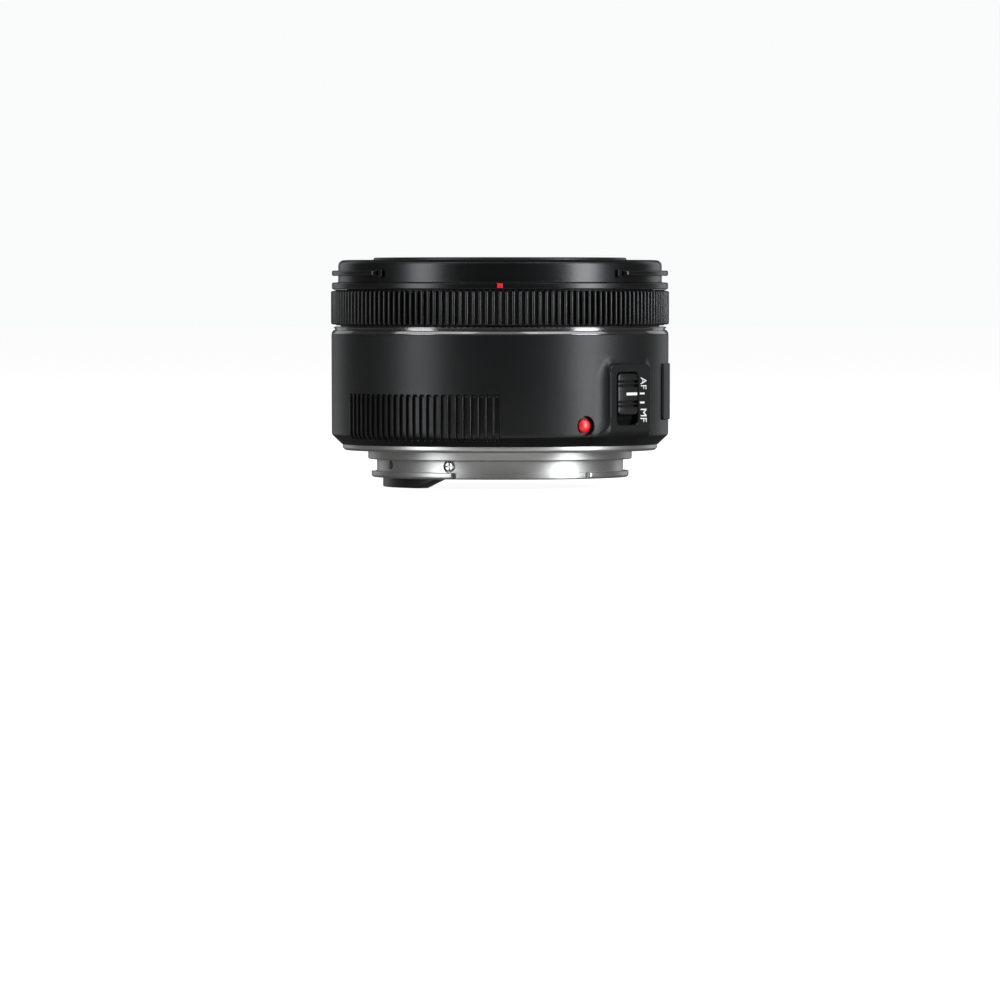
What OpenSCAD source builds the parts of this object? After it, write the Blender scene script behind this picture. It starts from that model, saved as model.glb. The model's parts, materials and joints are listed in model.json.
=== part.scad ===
// Compact normal prime lens for an autofocus reflex camera.
// The axis of the optics is Z. The seating face of the camera mount is Z = 0, and +Z points at the subject.
// Angles called phi are seen from the front of the barrel: phi = 0 is -Y, phi = 90 is +X.
// All sizes are in millimetres.

/* [Outer body] */
// Radius of the focusing ring over its ribs, the widest part
body_r = 34.6; // [34.5:0.05:34.7]
// Height of the front rim above the mount's seating face
front_z = 39.3; // [39.2:0.1:39.6]
// Height of the main barrel's upper edge
barrel_top_z = 23.7; // [23.6:0.05:23.8]
// Ribs round the focusing ring
focus_ribs = 160; // [120:1:180]
// Angle between two grip grooves on the main barrel
grip_pitch = 2.6; // [2.4:0.1:3]

/* [Camera mount] */
// Radius of the mount's seating flange
flange_r = 32.2; // [31.8:0.1:32.4]
// Radius of the register that centres the lens in the camera
register_r = 27; // [26.9:0.05:27.05]
// Radius over the bayonet lugs
lug_r = 26.35; // [26.2:0.05:26.5]
// Depth of the bayonet below the seating face
bayonet_depth = 5.53; // [5.4:0.05:5.6]

/* [Optics] */
// Root radius of the filter thread, for a 49 mm filter
thread_r = 24.5; // [24.4:0.05:24.55]
// Travel of the lens unit from infinity to the closest focus
focus_travel = 10.5; // [8:0.5:10.5]
// Radius of the open diaphragm
stop_r = 11; // [10.8:0.1:11]
// Angle that each blade turns to reach the smallest opening
blade_swing = 30; // [20:1:30]

/* [Mode switch] */
// Direction that the switch panel faces
switch_phi = 49; // [47:1:51]
// Travel of the switch knob between its two positions
switch_travel = 1.8; // [1.6:0.1:1.8]

/* [Hidden] */
$fn = 96;

// Clearances
run_gap = 0.1;      // between a turning or sliding part and its guide
eps = 0.01;         // overlap that makes a cut clean

// Barrel stack, from the axis outwards
carrier_in = 20.8;  carrier_out = 22;
guide_in = carrier_out + run_gap;
guide_out = 23.5;
cam_in = guide_out + run_gap;
cam_out = 25.2;
tube_in = 27.3;     tube_out = 28.1;    // outer wall of the fixed barrel
shell_in = 32.9;    shell_out = 34.45;  // main barrel
front_r = 25.9;     // front barrel, which slides out

// Heights
flange_top = 1.2;   // upper face of the mount's flange
floor_top = 2.9;    // upper face of the fixed barrel's floor
foot_top = 3.4;     // upper face of the guide tube's foot
focus_z0 = 25.45;   // underside of the focusing ring
focus_z1 = 32.68;   // upper edge of the focusing ring
cover_z0 = 32.78;   // underside of the front cover
cover_top = 38.8;
tube_top = 36.2;

// Focus drive
follower_z = 8.5;   // height of the cam followers at infinity
cam_turn = 80;      // turn of the cam ring over the whole travel
follower_r = 0.9;
motor_dir = 100;    // direction of the reduction gear, counted from +X
cam_teeth = 132;    cam_module = 0.4;
small_teeth = 12;
wheel_teeth = 20;   wheel_module = 0.3;
motor_teeth = 10;
pressure = 25;      // pressure angle of all the gears
cam_pitch_r = cam_teeth * cam_module / 2;
gear_r = cam_pitch_r + small_teeth * cam_module / 2;
mesh_dist = (wheel_teeth + motor_teeth) * wheel_module / 2;
motor_r = 30.5;
motor_gap = acos((gear_r * gear_r + motor_r * motor_r - mesh_dist * mesh_dist) / (2 * gear_r * motor_r));
motor_at = motor_dir + motor_gap;

// Diaphragm
blades = 7;
pivot_r = 18.7;     // circle of the blade pivots
blade_out = 17.3;   // outer edge of an open blade
blade_arc = 105;    // angle that a blade spans
blade_z = 9.6;      // underside of the lowest blade
blade_step = 0.16;
blade_t = 0.1;
pin_r = 0.35;
drive_r = 18.4;     drive_at = 10;      // drive pin, from the axis and from the pivot
ring_ratio = 1.5;   // blade turn for each degree of the iris ring
iris_z0 = 10.8;     iris_z1 = 11.3;
iris_gear_z1 = 11.8;
iris_module = 0.2;  iris_teeth = 171;   iris_small = 12;
iris_pinion_r = (iris_teeth + iris_small) * iris_module / 2;
iris_dir = 180;     // direction of the pinion, clear of the drive slots

// Camera contacts
block_z = -7.5;     // lowest face of the contact block
block_in = 20.6;    block_out = 23.95;
mount_screw_dirs = [10, 80, 150, 290];  // counted from +X, clear of the contact block
contact_screw_phi = [-24, -103];
contact_screw_z = -2.9;
flex_phi = [-72, -52];

// Hood bayonet
hood_lug_phi = 47.5;
hood_lug_span = 85;

// Switch panel, in its own plane: u runs round the barrel, and the third number is the height
panel_d = 34.95;    // distance of the panel's face from the axis
panel_half = 6.43;
panel_z = [2.6, 17.8];
slot_u = [-4.27, 2.41];
slot_z = [5.5, 16.1];
knob_z = [7.35, 16];

// Direction phi as an angle from +X
function az(phi) = phi - 90;

// Points of an arc round [x, y]
function arc(x, y, r, a0, a1, n = 8) = [for (i = [0:n]) [x + r * cos(a0 + (a1 - a0) * i / n),
                                                        y + r * sin(a0 + (a1 - a0) * i / n)]];

// Rectangle with round corners, from [x0, y0] to [x1, y1]
function round_rect(x0, x1, y0, y1, r, n = 6) = concat(
    arc(x1 - r, y1 - r, r, 0, 90, n), arc(x0 + r, y1 - r, r, 90, 180, n),
    arc(x0 + r, y0 + r, r, 180, 270, n), arc(x1 - r, y0 + r, r, 270, 360, n));

// Involute of an angle, in degrees, and the half angle of a tooth at radius r
function inv(a) = tan(a) * 180 / PI - a;
function tooth_half(r, teeth, m) = let(base = teeth * m / 2 * cos(pressure))
    90 / teeth * 0.9 + inv(pressure) - (r > base ? inv(acos(base / r)) : 0);

// Outline of teeth first to last of a gear, with tooth 0 centred on +X
function gear_edge(teeth, m, first, last) =
    let(pitch = teeth * m / 2, tip = pitch + 0.8 * m, root = pitch - 1.05 * m,
        base = max(root, pitch * cos(pressure)),
        flank = [root, base, (base + tip) / 2, tip])
    [for (i = [first:last], side = [-1, 1], k = [0:3])
        let(r = flank[side < 0 ? k : 3 - k],
            a = 360 / teeth * i + side * tooth_half(max(r, base), teeth, m))
        [r * cos(a), r * sin(a)]];

module gear(teeth, m, h) {
    linear_extrude(h) polygon(gear_edge(teeth, m, 0, teeth - 1));
}

// Solid turned from a half section of [r, z] points
module turned(points) {
    rotate_extrude() polygon(points);
}

module ring(r_in, r_out, z0, z1) {
    turned([[r_in, z0], [r_out, z0], [r_out, z1], [r_in, z1]]);
}

// Part of a ring between two directions
module sector(r_in, r_out, z0, z1, phi0, phi1) {
    rotate([0, 0, az(phi0)]) rotate_extrude(angle = phi1 - phi0)
        polygon([[r_in, z0], [r_out, z0], [r_out, z1], [r_in, z1]]);
}

// Puts its children with their +Z axis along the radius at phi
module radial(phi, z) {
    rotate([0, 0, az(phi)]) translate([0, 0, z]) rotate([0, 90, 0]) children();
}

// Puts a flat outline, drawn in u and height, on the switch panel's plane, from distance d0 to d1
module on_panel(d0, d1) {
    rotate([0, 0, az(switch_phi)]) translate([d0, 0, 0]) rotate([90, 0, 90]) linear_extrude(d1 - d0) children();
}

// Cross recess for a screw head whose top is at z = 0
module cross_recess(size, depth) {
    for (a = [0, 90]) rotate([0, 0, a]) translate([-size / 2, -size / 8, -depth])
        cube([size, size / 4, depth + eps]);
}

// ---------------------------------------------------------------- camera mount

module bayonet_mount() {
    tube_r = 25.2;
    rim_z = -4.2;
    ledge_in = 21.6;
    bore_r = 24;
    ledge_z = -1.2;
    color("silver") difference() {
        union() {
            turned([[ledge_in, flange_top], [ledge_in, ledge_z], [bore_r, ledge_z], [bore_r, -bayonet_depth],
                    [tube_r + 0.1, -bayonet_depth], [tube_r + 0.3, -bayonet_depth + 0.2], [tube_r + 0.3, rim_z],
                    [tube_r, rim_z], [tube_r, -1.8], [register_r - 0.2, -1.8], [register_r, -1.6],
                    [register_r, 0], [flange_r - 0.6, 0], [flange_r, 0.5], [flange_r, flange_top]]);
            for (lug = [[-87, -21.5], [43, 103], [160, 216]])
                rotate([0, 0, az(lug[0])]) rotate_extrude(angle = lug[1] - lug[0])
                    polygon([[bore_r + 0.2, -bayonet_depth], [lug_r - 0.5, -bayonet_depth],
                             [lug_r, -bayonet_depth + 0.5], [lug_r, rim_z], [bore_r + 0.2, rim_z]]);
        }
        for (a = mount_screw_dirs) rotate([0, 0, a]) translate([22.8, 0, ledge_z - 1]) cylinder(r = 0.8, h = 4);
        // hole for the camera's lock pin
        rotate([0, 0, az(119.5)]) translate([29.6, 0, -1]) cylinder(r = 1.7, h = 4);
        for (phi = contact_screw_phi) radial(phi, contact_screw_z) {
            translate([0, 0, bore_r - 1]) cylinder(r = 0.56, h = 4);
            translate([0, 0, 24.75]) cylinder(r = 1.25, h = 2);
        }
        // locating hole and its lead-in
        radial(-62, -2.75) translate([0, 0, bore_r - 1]) cylinder(r = 0.55, h = 4);
        sector(bore_r + 0.9, 27, -4.1, -2.7, -62.6, -61.4);
        // gap beside the end of the first lug
        sector(bore_r + 0.9, 27, -bayonet_depth - 1, rim_z + 0.05, -22, -20.2);
    }
}

module mount_screws() {
    color("dimgray") for (a = mount_screw_dirs) rotate([0, 0, a]) translate([22.8, 0, -1.2]) difference() {
        union() {
            translate([0, 0, -0.75]) cylinder(r1 = 0.95, r2 = 1.15, h = 0.25);
            translate([0, 0, -0.5]) cylinder(r = 1.15, h = 0.5);
            cylinder(r = 0.78, h = 3.9);
        }
        translate([0, 0, -0.75]) rotate([180, 0, 0]) cross_recess(1.3, 0.5);
    }
}

module contact_block() {
    color([0.05, 0.05, 0.05]) difference() {
        union() {
            sector(block_in, block_out, block_z, -1.3, -95, -31.4);
            sector(22, block_out - 0.05, -4.6, -1.35, -107, -20);
        }
        // ramp that presses the camera's pins down little by little
        rotate([0, 0, az(-44.4)]) translate([15, 0, block_z]) rotate([20.8, 0, 0]) translate([0, -1, -10])
            cube([12, 12, 10]);
        for (phi = contact_screw_phi) radial(phi, contact_screw_z)
            translate([0, 0, 21]) cylinder(r = 0.5, h = 4);
        contact_places() translate([0, 0, -eps]) contact_pin_shape(1);
    }
}

// The eight contacts, spread along the block
module contact_places() {
    for (i = [0:7]) rotate([0, 0, az(-49 - i * 6.1)]) translate([22.2, 0, block_z]) children();
}

module contact_pin_shape(h) {
    linear_extrude(h) polygon(round_rect(-1.15, 1.15, -0.75, 0.75, 0.3, 4));
}

module contact_pins() {
    color("gold") contact_places() contact_pin_shape(0.9);
}

module contact_screws() {
    color("silver") for (phi = contact_screw_phi) radial(phi, contact_screw_z) difference() {
        union() {
            translate([0, 0, 22.3]) cylinder(r = 0.48, h = 2.5);
            translate([0, 0, 24.76]) cylinder(r = 0.95, h = 0.34);
            translate([0, 0, 25.1]) cylinder(r1 = 0.95, r2 = 0.8, h = 0.14);
        }
        translate([0, 0, 25.24]) cross_recess(1.15, 0.3);
    }
}

// Flexible print from the contacts to the circuit board, which folds over the floor of the fixed barrel
module contact_flex() {
    color("darkorange") {
        sector(21.2, 21.35, -1.3, 3.15, flex_phi[0] + 3, flex_phi[1] - 3);
        sector(21.35, 29.4, 3, 3.15, flex_phi[0] + 3, flex_phi[1] - 3);
        sector(21.35, 22.4, -1.29, -1.22, flex_phi[0] + 3, flex_phi[1] - 3);
    }
}

module flex_gate(r_in, r_out) {
    sector(r_in, r_out, -1.5, 3.3, flex_phi[0], flex_phi[1]);
}

module rear_shield() {
    color([0.04, 0.04, 0.04]) difference() {
        turned([[14.2, -3.5], [14.9, -3.5], [19.2, -1.2], [21.55, -1.2], [21.55, 0.4], [20.4, 0.4],
                [18.6, -0.5], [14.2, -2.8]]);
        sector(20.9, 22, -2, 1, flex_phi[0], flex_phi[1]);
        // room for the contact block behind the rim
        sector(block_in - 0.2, 22, -2, -1.1, -108, -18);
    }
}

// ---------------------------------------------------------------- fixed frame

module fixed_barrel() {
    color([0.1, 0.1, 0.1]) difference() {
        union() {
            ring(21.7, 31.36, flange_top, floor_top);
            ring(tube_in, tube_out, floor_top - 0.5, tube_top);
        }
        for (a = mount_screw_dirs) rotate([0, 0, a]) translate([22.8, 0, 0]) cylinder(r = 0.79, h = 5);
        flex_gate(tube_in - 0.5, tube_out + 0.5);
        // window for the reduction gear
        rotate([0, 0, motor_dir - 8.5]) rotate_extrude(angle = 17)
            translate([tube_in - 0.5, 3.3]) square([2, 4.4]);
        for (a = [60:120:300]) rotate([0, 0, a]) translate([0, 0, 35.3]) rotate([0, 90, 0])
            translate([0, 0, tube_in - 1]) cylinder(r = 0.52, h = 3);
    }
}

// Inner tube whose three straight slots keep the lens unit from turning
module guide_tube() {
    slot_half = follower_r + 0.05;
    color([0.12, 0.12, 0.12]) difference() {
        union() {
            ring(guide_in, guide_out, floor_top, 25.4);
            ring(guide_in, 26.2, floor_top, foot_top);
        }
        for (a = [0:120:240]) rotate([0, 0, a]) {
            translate([guide_in - 1, -slot_half, follower_z]) cube([3, 2 * slot_half, focus_travel]);
            for (z = [follower_z, follower_z + focus_travel])
                translate([guide_in - 1, 0, z]) rotate([0, 90, 0]) cylinder(r = slot_half, h = 3);
        }
        flex_gate(guide_in - 0.5, 27);
        for (a = mount_screw_dirs) rotate([0, 0, a]) translate([22.8, 0, 0]) cylinder(r = 0.9, h = 3.2);
    }
}

module cam_retainer() {
    color("gray") difference() {
        ring(guide_out, 25, 22.5, 23);
        translate([20, -1.5, 22]) cube([8, 3, 2]);
    }
}

// One helical cam slot, cut as short straight lengths along the follower's path
module cam_slot() {
    lengths = 16;
    step = cam_turn / lengths;
    rise = atan(focus_travel / (cam_turn * PI / 180 * 24.4));
    run = 25.8 * step * PI / 180 / cos(rise) + 0.1;
    for (i = [0:lengths - 1])
        rotate([0, 0, -(i + 0.5) * step]) translate([24.4, 0, follower_z + focus_travel * (i + 0.5) / lengths])
            rotate([-rise, 0, 0]) cube([3, run, 2 * follower_r + 0.2], center = true);
}

module cam_ring() {
    gear_arc = [-2, 32];    // teeth that ever meet the reduction gear
    color("darkslategray") difference() {
        union() {
            ring(cam_in, cam_out, 3.6, 22.4);
            rotate([0, 0, motor_dir - 360 / cam_teeth * (gear_arc[1] - 3)]) translate([0, 0, 3.6])
                linear_extrude(1.6) polygon(concat(
                    gear_edge(cam_teeth, cam_module, gear_arc[0], gear_arc[1]),
                    arc(0, 0, 24.4, 360 / cam_teeth * (gear_arc[1] + 1), 360 / cam_teeth * (gear_arc[0] - 1), 24)));
        }
        for (a = [0:120:240]) rotate([0, 0, a]) {
            cam_slot();
            for (end = [[0, 0], [-cam_turn, focus_travel]])
                rotate([0, 0, end[0]]) translate([cam_in - 0.6, 0, follower_z + end[1]]) rotate([0, 90, 0])
                    cylinder(r = follower_r + 0.1, h = 2.8);
        }
    }
}

// ---------------------------------------------------------------- focus drive

module at_gear() {
    rotate([0, 0, motor_dir]) translate([gear_r, 0, 0]) rotate([0, 0, -motor_dir]) children();
}

module at_motor() {
    rotate([0, 0, motor_at]) translate([motor_r, 0, 0]) rotate([0, 0, -motor_at]) children();
}

// Direction from the reduction gear to the motor
gear_to_motor = atan2(motor_r * sin(motor_at) - gear_r * sin(motor_dir),
                      motor_r * cos(motor_at) - gear_r * cos(motor_dir));

module reduction_gear() {
    color("gold") at_gear() difference() {
        union() {
            rotate([0, 0, motor_dir + 180 + 180 / small_teeth]) translate([0, 0, 3.7])
                gear(small_teeth, cam_module, 1.8);
            rotate([0, 0, gear_to_motor]) translate([0, 0, 5.5]) gear(wheel_teeth, wheel_module, 1.1);
        }
        translate([0, 0, 3]) cylinder(r = 0.55, h = 5);
    }
}

module motor_pinion() {
    color("gold") at_motor() {
        rotate([0, 0, gear_to_motor + 180 + 180 / motor_teeth]) translate([0, 0, 5.3])
            gear(motor_teeth, wheel_module, 1.6);
        translate([0, 0, 6.9]) cylinder(r = 0.4, h = 2.9);
    }
}

module gear_axle() {
    color("silver") at_gear() translate([0, 0, floor_top]) cylinder(r = 0.5, h = 5.2);
}

// Plate over the gears that carries the motor
module gear_bracket() {
    color("gray") difference() {
        rotate([0, 0, motor_dir - 5]) rotate_extrude(angle = motor_gap + 9.5)
            polygon([[tube_out + 0.02, 7.3], [32.75, 7.3], [32.75, 7.9], [tube_out + 0.02, 7.9]]);
        at_gear() translate([0, 0, 7]) cylinder(r = 0.5, h = 2);
        at_motor() translate([0, 0, 7]) cylinder(r = 0.9, h = 2);
    }
}

module focus_motor() {
    color("lightgray") at_motor() difference() {
        union() {
            translate([0, 0, 7.9]) cylinder(r = 2.25, h = 9.6);
            translate([0, 0, 17.5]) cylinder(r = 1, h = 0.7);
        }
        translate([0, 0, 7]) cylinder(r = 0.45, h = 3);
        for (z = [11, 14.4]) translate([0, 0, z]) difference() {
            cylinder(r = 3, h = 0.3);
            cylinder(r = 2.05, h = 0.3);
        }
    }
}

// ---------------------------------------------------------------- electronics

module main_board() {
    color("darkgreen") difference() {
        sector(28.6, 32.7, 3.2, 3.8, -150, 95);
        sector(28, 29.5, 3.1, 4, flex_phi[0] + 2, flex_phi[1] - 2);
        for (phi = [-140, 85]) rotate([0, 0, az(phi)]) translate([30.6, 0, 3]) cylinder(r = 0.6, h = 1);
    }
}

module board_chips() {
    color([0.08, 0.08, 0.08]) for (c = [[-120, 3.4, 0.9], [-96, 5, 1.1], [-36, 3.4, 0.9], [-10, 5, 1.1], [20, 2.4, 0.8], [72, 3, 1]])
        rotate([0, 0, az(c[0])]) translate([29.1, -c[1] / 2, 3.8]) cube([2.9, c[1], c[2]]);
}

// Two photo-interrupters that the encoder comb's teeth run through
module ring_sensors() {
    color([0.1, 0.1, 0.12]) for (phi = [-118, -104]) rotate([0, 0, az(phi)]) difference() {
        translate([tube_out + 0.05, -1.6, 21.6]) cube([3.85, 3.2, 3.2]);
        translate([29.3, -2, 22.7]) cube([1.7, 4, 3]);
    }
}

// ---------------------------------------------------------------- outer shell

// Vertical groove cut into the barrel's grip
module grip_groove(phi) {
    rotate([0, 0, az(phi)]) translate([33.85, -0.5, 2.93]) cube([2, 1, 8.7]);
}

module main_barrel() {
    groove_zones = [[-61, 0], [135, 241]];
    color([0.12, 0.12, 0.13]) difference() {
        union() {
            turned(concat([[31.4, flange_top], [32.35, flange_top], [33.95, 2.8], [34.2, 3.1], [34.38, 3.45],
                           [shell_out, 3.9], [shell_out, 12], [shell_out + 0.05, barrel_top_z], [shell_in, barrel_top_z],
                           [shell_in, floor_top], [31.4, floor_top]]));
            difference() {
                on_panel(31, panel_d) polygon(round_rect(-panel_half, panel_half, panel_z[0], panel_z[1], 1.4));
                cylinder(r = shell_in + 0.3, h = 30);
            }
        }
        for (zone = groove_zones, i = [0:floor((zone[1] - zone[0]) / grip_pitch)])
            grip_groove(zone[0] + i * grip_pitch);
        // slot of the switch, and the pocket behind it for the knob's flange
        on_panel(31, 36) polygon(round_rect(slot_u[0], slot_u[1], slot_z[0], slot_z[1], 1));
        on_panel(31, 33.9) polygon(round_rect(-5.3, 3.4, 4.4, 17.2, 0.5));
        radial(30.1, 5.4) translate([0, 0, 33.35]) cylinder(r = 1.85, h = 3);
    }
}

module name_plate() {
    color([0.03, 0.03, 0.03]) sector(shell_out + 0.03, shell_out + 0.33, 6.3, 17.7, 72, 128);
}

module mount_index_dot() {
    color("red") radial(30.1, 5.4) translate([0, 0, 33.35]) turned(concat([[0, 0], [1.4, 0], [1.4, 0.35]],
        [for (i = [1:8]) [1.4 * cos(90 * i / 8), 0.35 + 0.5 * sin(90 * i / 8)]]));
}

// Polished ring between the main barrel and the focusing ring
module trim_ring() {
    color("darkslategray") turned([[shell_in, barrel_top_z], [34.5, barrel_top_z], [34.5, barrel_top_z + 0.1],
        [34.1, 24.62], [34.02, 24.75], [34.02, 24.85], [34.14, 24.95], [34.14, 25.12], [34.02, 25.22],
        [shell_in, 25.22]]);
}

// ---------------------------------------------------------------- focusing ring

module focus_ring() {
    groove_r = body_r - 0.55;
    rib = function(i) let(p = 360 / focus_ribs, a = p * i)
        [for (c = [[groove_r, -0.3], [body_r, -0.2], [body_r, 0.2], [groove_r, 0.3]])
            [c[0] * cos(a + p * c[1]), c[0] * sin(a + p * c[1])]];
    color([0.09, 0.09, 0.09]) difference() {
        union() {
            translate([0, 0, focus_z0 + 0.18]) linear_extrude(focus_z1 - focus_z0 - 0.36)
                polygon([for (i = [0:focus_ribs - 1]) each rib(i)]);
            cylinder(r = groove_r - 0.02, h = focus_z1);
        }
        translate([0, 0, -1]) cylinder(r = 31, h = 50);
        translate([0, 0, -1]) cylinder(r = 40, h = focus_z0 + 1);
        translate([0, 0, 32.25]) cylinder(r = 33, h = 1);
    }
}

// Comb under the focusing ring: its teeth interrupt the light of the two sensors
module encoder_comb() {
    teeth = 72;
    color([0.15, 0.15, 0.15]) difference() {
        union() {
            ring(29.7, 30.5, 23.4, focus_z0);
            ring(29.7, 32.6, focus_z0 - 0.35, focus_z0);
        }
        for (i = [0:teeth - 1]) rotate([0, 0, 360 / teeth * i]) translate([29, -0.65, 22])
            cube([2, 1.3, 2.9]);
    }
}

module bearing_sleeve() {
    color("white") ring(tube_out, 31 - run_gap, 25.7, 32.2);
}

module friction_spring() {
    color("silver") difference() {
        ring(31.3, 32.8, 32.4, 32.6);
        translate([30, -1, 32]) cube([4, 2, 1]);
    }
}

// ---------------------------------------------------------------- front cover

module front_cover() {
    color([0.1, 0.1, 0.1]) difference() {
        union() {
            turned(concat([[31, cover_z0], [34.2, cover_z0], [34.4, cover_z0 + 0.2], [34.4, 34], [34.25, 34.16],
                    [33.1, 34.27]], arc(32, cover_top - 1.1, 1.1, 0, 90, 6),
                   [[26.3, cover_top], [26.3, tube_top], [tube_out + 0.04, tube_top], [tube_out + 0.04, 34.4], [29.3, 34.4],
                    [29.3, tube_top], [31, tube_top]]));
            for (side = [-1, 1]) {
                a = side > 0 ? hood_lug_phi : -hood_lug_phi - hood_lug_span;
                sector(33, 34.4, 35.57, 36.65, a, a + hood_lug_span);
                sector(33, 34.1, 35.3, 36.75, side * 44 - 0.8, side * 44 + 0.8);
            }
        }
        // groove of the dust seal
        ring(26, 27, 36.9, 37.9);
        for (a = [60:120:300]) rotate([0, 0, a]) translate([0, 0, 35.3]) rotate([0, 90, 0])
            translate([0, 0, tube_out - 0.5]) cylinder(r = 0.52, h = 1.8);
        // seat of the hood index
        rotate([0, 0, az(0)]) translate([34.1, -0.6, 33.1]) cube([1, 1.2, 0.95]);
    }
}

module cover_screws() {
    color("silver") for (a = [60:120:300]) rotate([0, 0, a]) translate([0, 0, 35.3]) rotate([0, 90, 0]) difference() {
        union() {
            translate([0, 0, 27.4]) cylinder(r = 0.5, h = 2);
            translate([0, 0, 29.3]) cylinder(r = 0.85, h = 0.7);
        }
        translate([0, 0, 30]) cross_recess(1.0, 0.35);
    }
}

module hood_index() {
    color("red") rotate([0, 0, az(0)]) translate([34.1, -0.6, 33.1]) intersection() {
        cube([0.32, 1.2, 0.95]);
        translate([-34.1, 0.6, -1]) cylinder(r = 34.42, h = 3);
    }
}

module dust_seal() {
    color([0.05, 0.05, 0.05]) ring(front_r + 0.06, 27, 36.9, 37.9);
}

// ---------------------------------------------------------------- mode switch

// Plate behind the slot, which the knob's flange rides on
module switch_plate() {
    color([0.06, 0.06, 0.06]) on_panel(32.3, 33.1) polygon(round_rect(-5.2, 3.3, 4.5, 17.1, 0.4));
}

module switch_knob() {
    middle_u = (slot_u[0] + slot_u[1]) / 2;
    color([0.2, 0.2, 0.2]) difference() {
        union() {
            on_panel(33.2, 33.8) polygon(round_rect(-4.9, 3, 6.4, 16.8, 0.4));
            on_panel(33.7, 34.75) polygon(round_rect(slot_u[0] + 0.12, slot_u[1] - 0.12, knob_z[0], knob_z[1], 0.9));
            on_panel(34.7, 35.05)
                polygon(round_rect(slot_u[0] + 0.3, slot_u[1] - 0.3, knob_z[0] + 0.2, knob_z[1] - 0.2, 0.8));
        }
        for (z = [8.85, 9.65, 13.35, 14.15]) on_panel(34.5, 36)
            translate([middle_u - 4, z]) square([8, 0.4]);
    }
}

// ---------------------------------------------------------------- lens unit, the part that slides out

module front_barrel() {
    color([0.08, 0.08, 0.08]) turned(concat(
        [[24.1, 26], [front_r, 26]], arc(front_r - 0.6, front_z - 0.6, 0.6, 0, 90, 4),
        [[25, front_z], [thread_r, front_z - 0.4], [thread_r, 35.6], [24.1, 35.6], [24.1, 31.2],
         [20.8, 31.2], [20.8, 29.8], [24.1, 29.8]]));
}

// Flat ring and stepped cone round the first element
module name_ring() {
    steps = 6;
    top = [20.2, 34.9];
    foot = [15.6, 29.4];
    color([0.05, 0.05, 0.05]) turned(concat(
        [[24.05, 31.25], [24.05, top[1]], top],
        [for (i = [1:steps], back = [1, 0])
            [top[0] + (foot[0] - top[0]) * i / steps, top[1] + (foot[1] - top[1]) * (i - back) / steps]],
        [[foot[0], 29.1], [16.4, 29.1], [20.6, 34.2], [23.3, 34.2], [23.3, 31.25]]));
}

module lens_carrier() {
    color([0.1, 0.1, 0.1]) difference() {
        union() {
            ring(carrier_in, carrier_out, 3.5, 29.8);
            ring(19.6, carrier_out, 7.1, 8.15);
        }
        for (a = [0:120:240]) rotate([0, 0, a]) translate([19, 0, follower_z]) rotate([0, 90, 0])
            cylinder(r = 0.6, h = 4);
    }
}

// Stepped pins with rollers, one in each straight slot and cam slot
module cam_followers() {
    color("silver") for (a = [0:120:240]) rotate([0, 0, a]) translate([0, 0, follower_z]) rotate([0, 90, 0]) {
        translate([0, 0, carrier_in + 0.1]) cylinder(r = 0.6, h = 1.1);
        translate([0, 0, carrier_out]) cylinder(r = follower_r, h = 3.1);
    }
}

module lock_ring() {
    color([0.1, 0.1, 0.1]) difference() {
        ring(20.05, 20.78, 14.02, 15);
        for (a = [90, 270]) rotate([0, 0, a]) translate([19, -0.8, 14.5]) cube([3, 1.6, 1]);
    }
}

module front_cell() {
    color([0.07, 0.07, 0.07]) difference() {
        turned([[11.95, 12.4], [20.7, 12.4], [20.7, 14], [16.5, 14], [16.5, 28.9], [15.05, 28.9], [15.05, 19.4],
                [13.35, 19.4], [13.35, 17.88], [11.4, 17.88], [11.4, 17.1], [11.95, 17.1]]);
        at_iris_motor() translate([0, 0, 12]) cylinder(r = 0.5, h = 3);
    }
}

module front_retainer() {
    color([0.08, 0.08, 0.08]) difference() {
        ring(14.35, 15.03, 25.4, 26.6);
        for (a = [0, 180]) rotate([0, 0, a]) translate([13, -0.7, 26]) cube([3, 1.4, 1]);
    }
}

module spacer_ring() {
    color([0.08, 0.08, 0.08]) turned([[13.5, 19.42], [15.02, 19.42], [15.02, 23.2], [14.6, 23.2], [13.5, 21]]);
}

module rear_cell() {
    color([0.07, 0.07, 0.07]) turned([[10.25, 8.8], [20.6, 8.8], [20.6, 8.17], [13.2, 8.17], [13.2, -3.5],
        [12.8, -3.9], [11.9, -3.9], [11.25, -3.4], [11.25, -1.3], [10.35, -1.3], [9.7, -0.5], [9.7, 2], [10.25, 2]]);
}

module rear_retainer() {
    color([0.08, 0.08, 0.08]) difference() {
        ring(10.5, 11.22, -3.35, -2.6);
        for (a = [45, 225]) rotate([0, 0, a]) translate([9, -0.6, -3.5]) cube([4, 1.2, 0.6]);
    }
}

// Height of a spherical surface at radius x: positive curvature bulges towards the subject
function surface_z(vertex, curve, x) = curve == 0 ? vertex
    : vertex - curve + sign(curve) * sqrt(curve * curve - x * x);

// Glass element turned from its two surfaces: [vertex height, curvature radius, clear radius] each
module glass(front, rear, edge_r) {
    n = 14;
    color([0.8, 0.9, 0.95, 0.4]) turned(concat(
        [for (i = [0:n]) let(x = front[2] * i / n) [x, surface_z(front[0], front[1], x)]],
        [[edge_r, surface_z(front[0], front[1], front[2])], [edge_r, surface_z(rear[0], rear[1], rear[2])]],
        [for (i = [n:-1:0]) let(x = rear[2] * i / n) [x, surface_z(rear[0], rear[1], x)]]));
}

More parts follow.
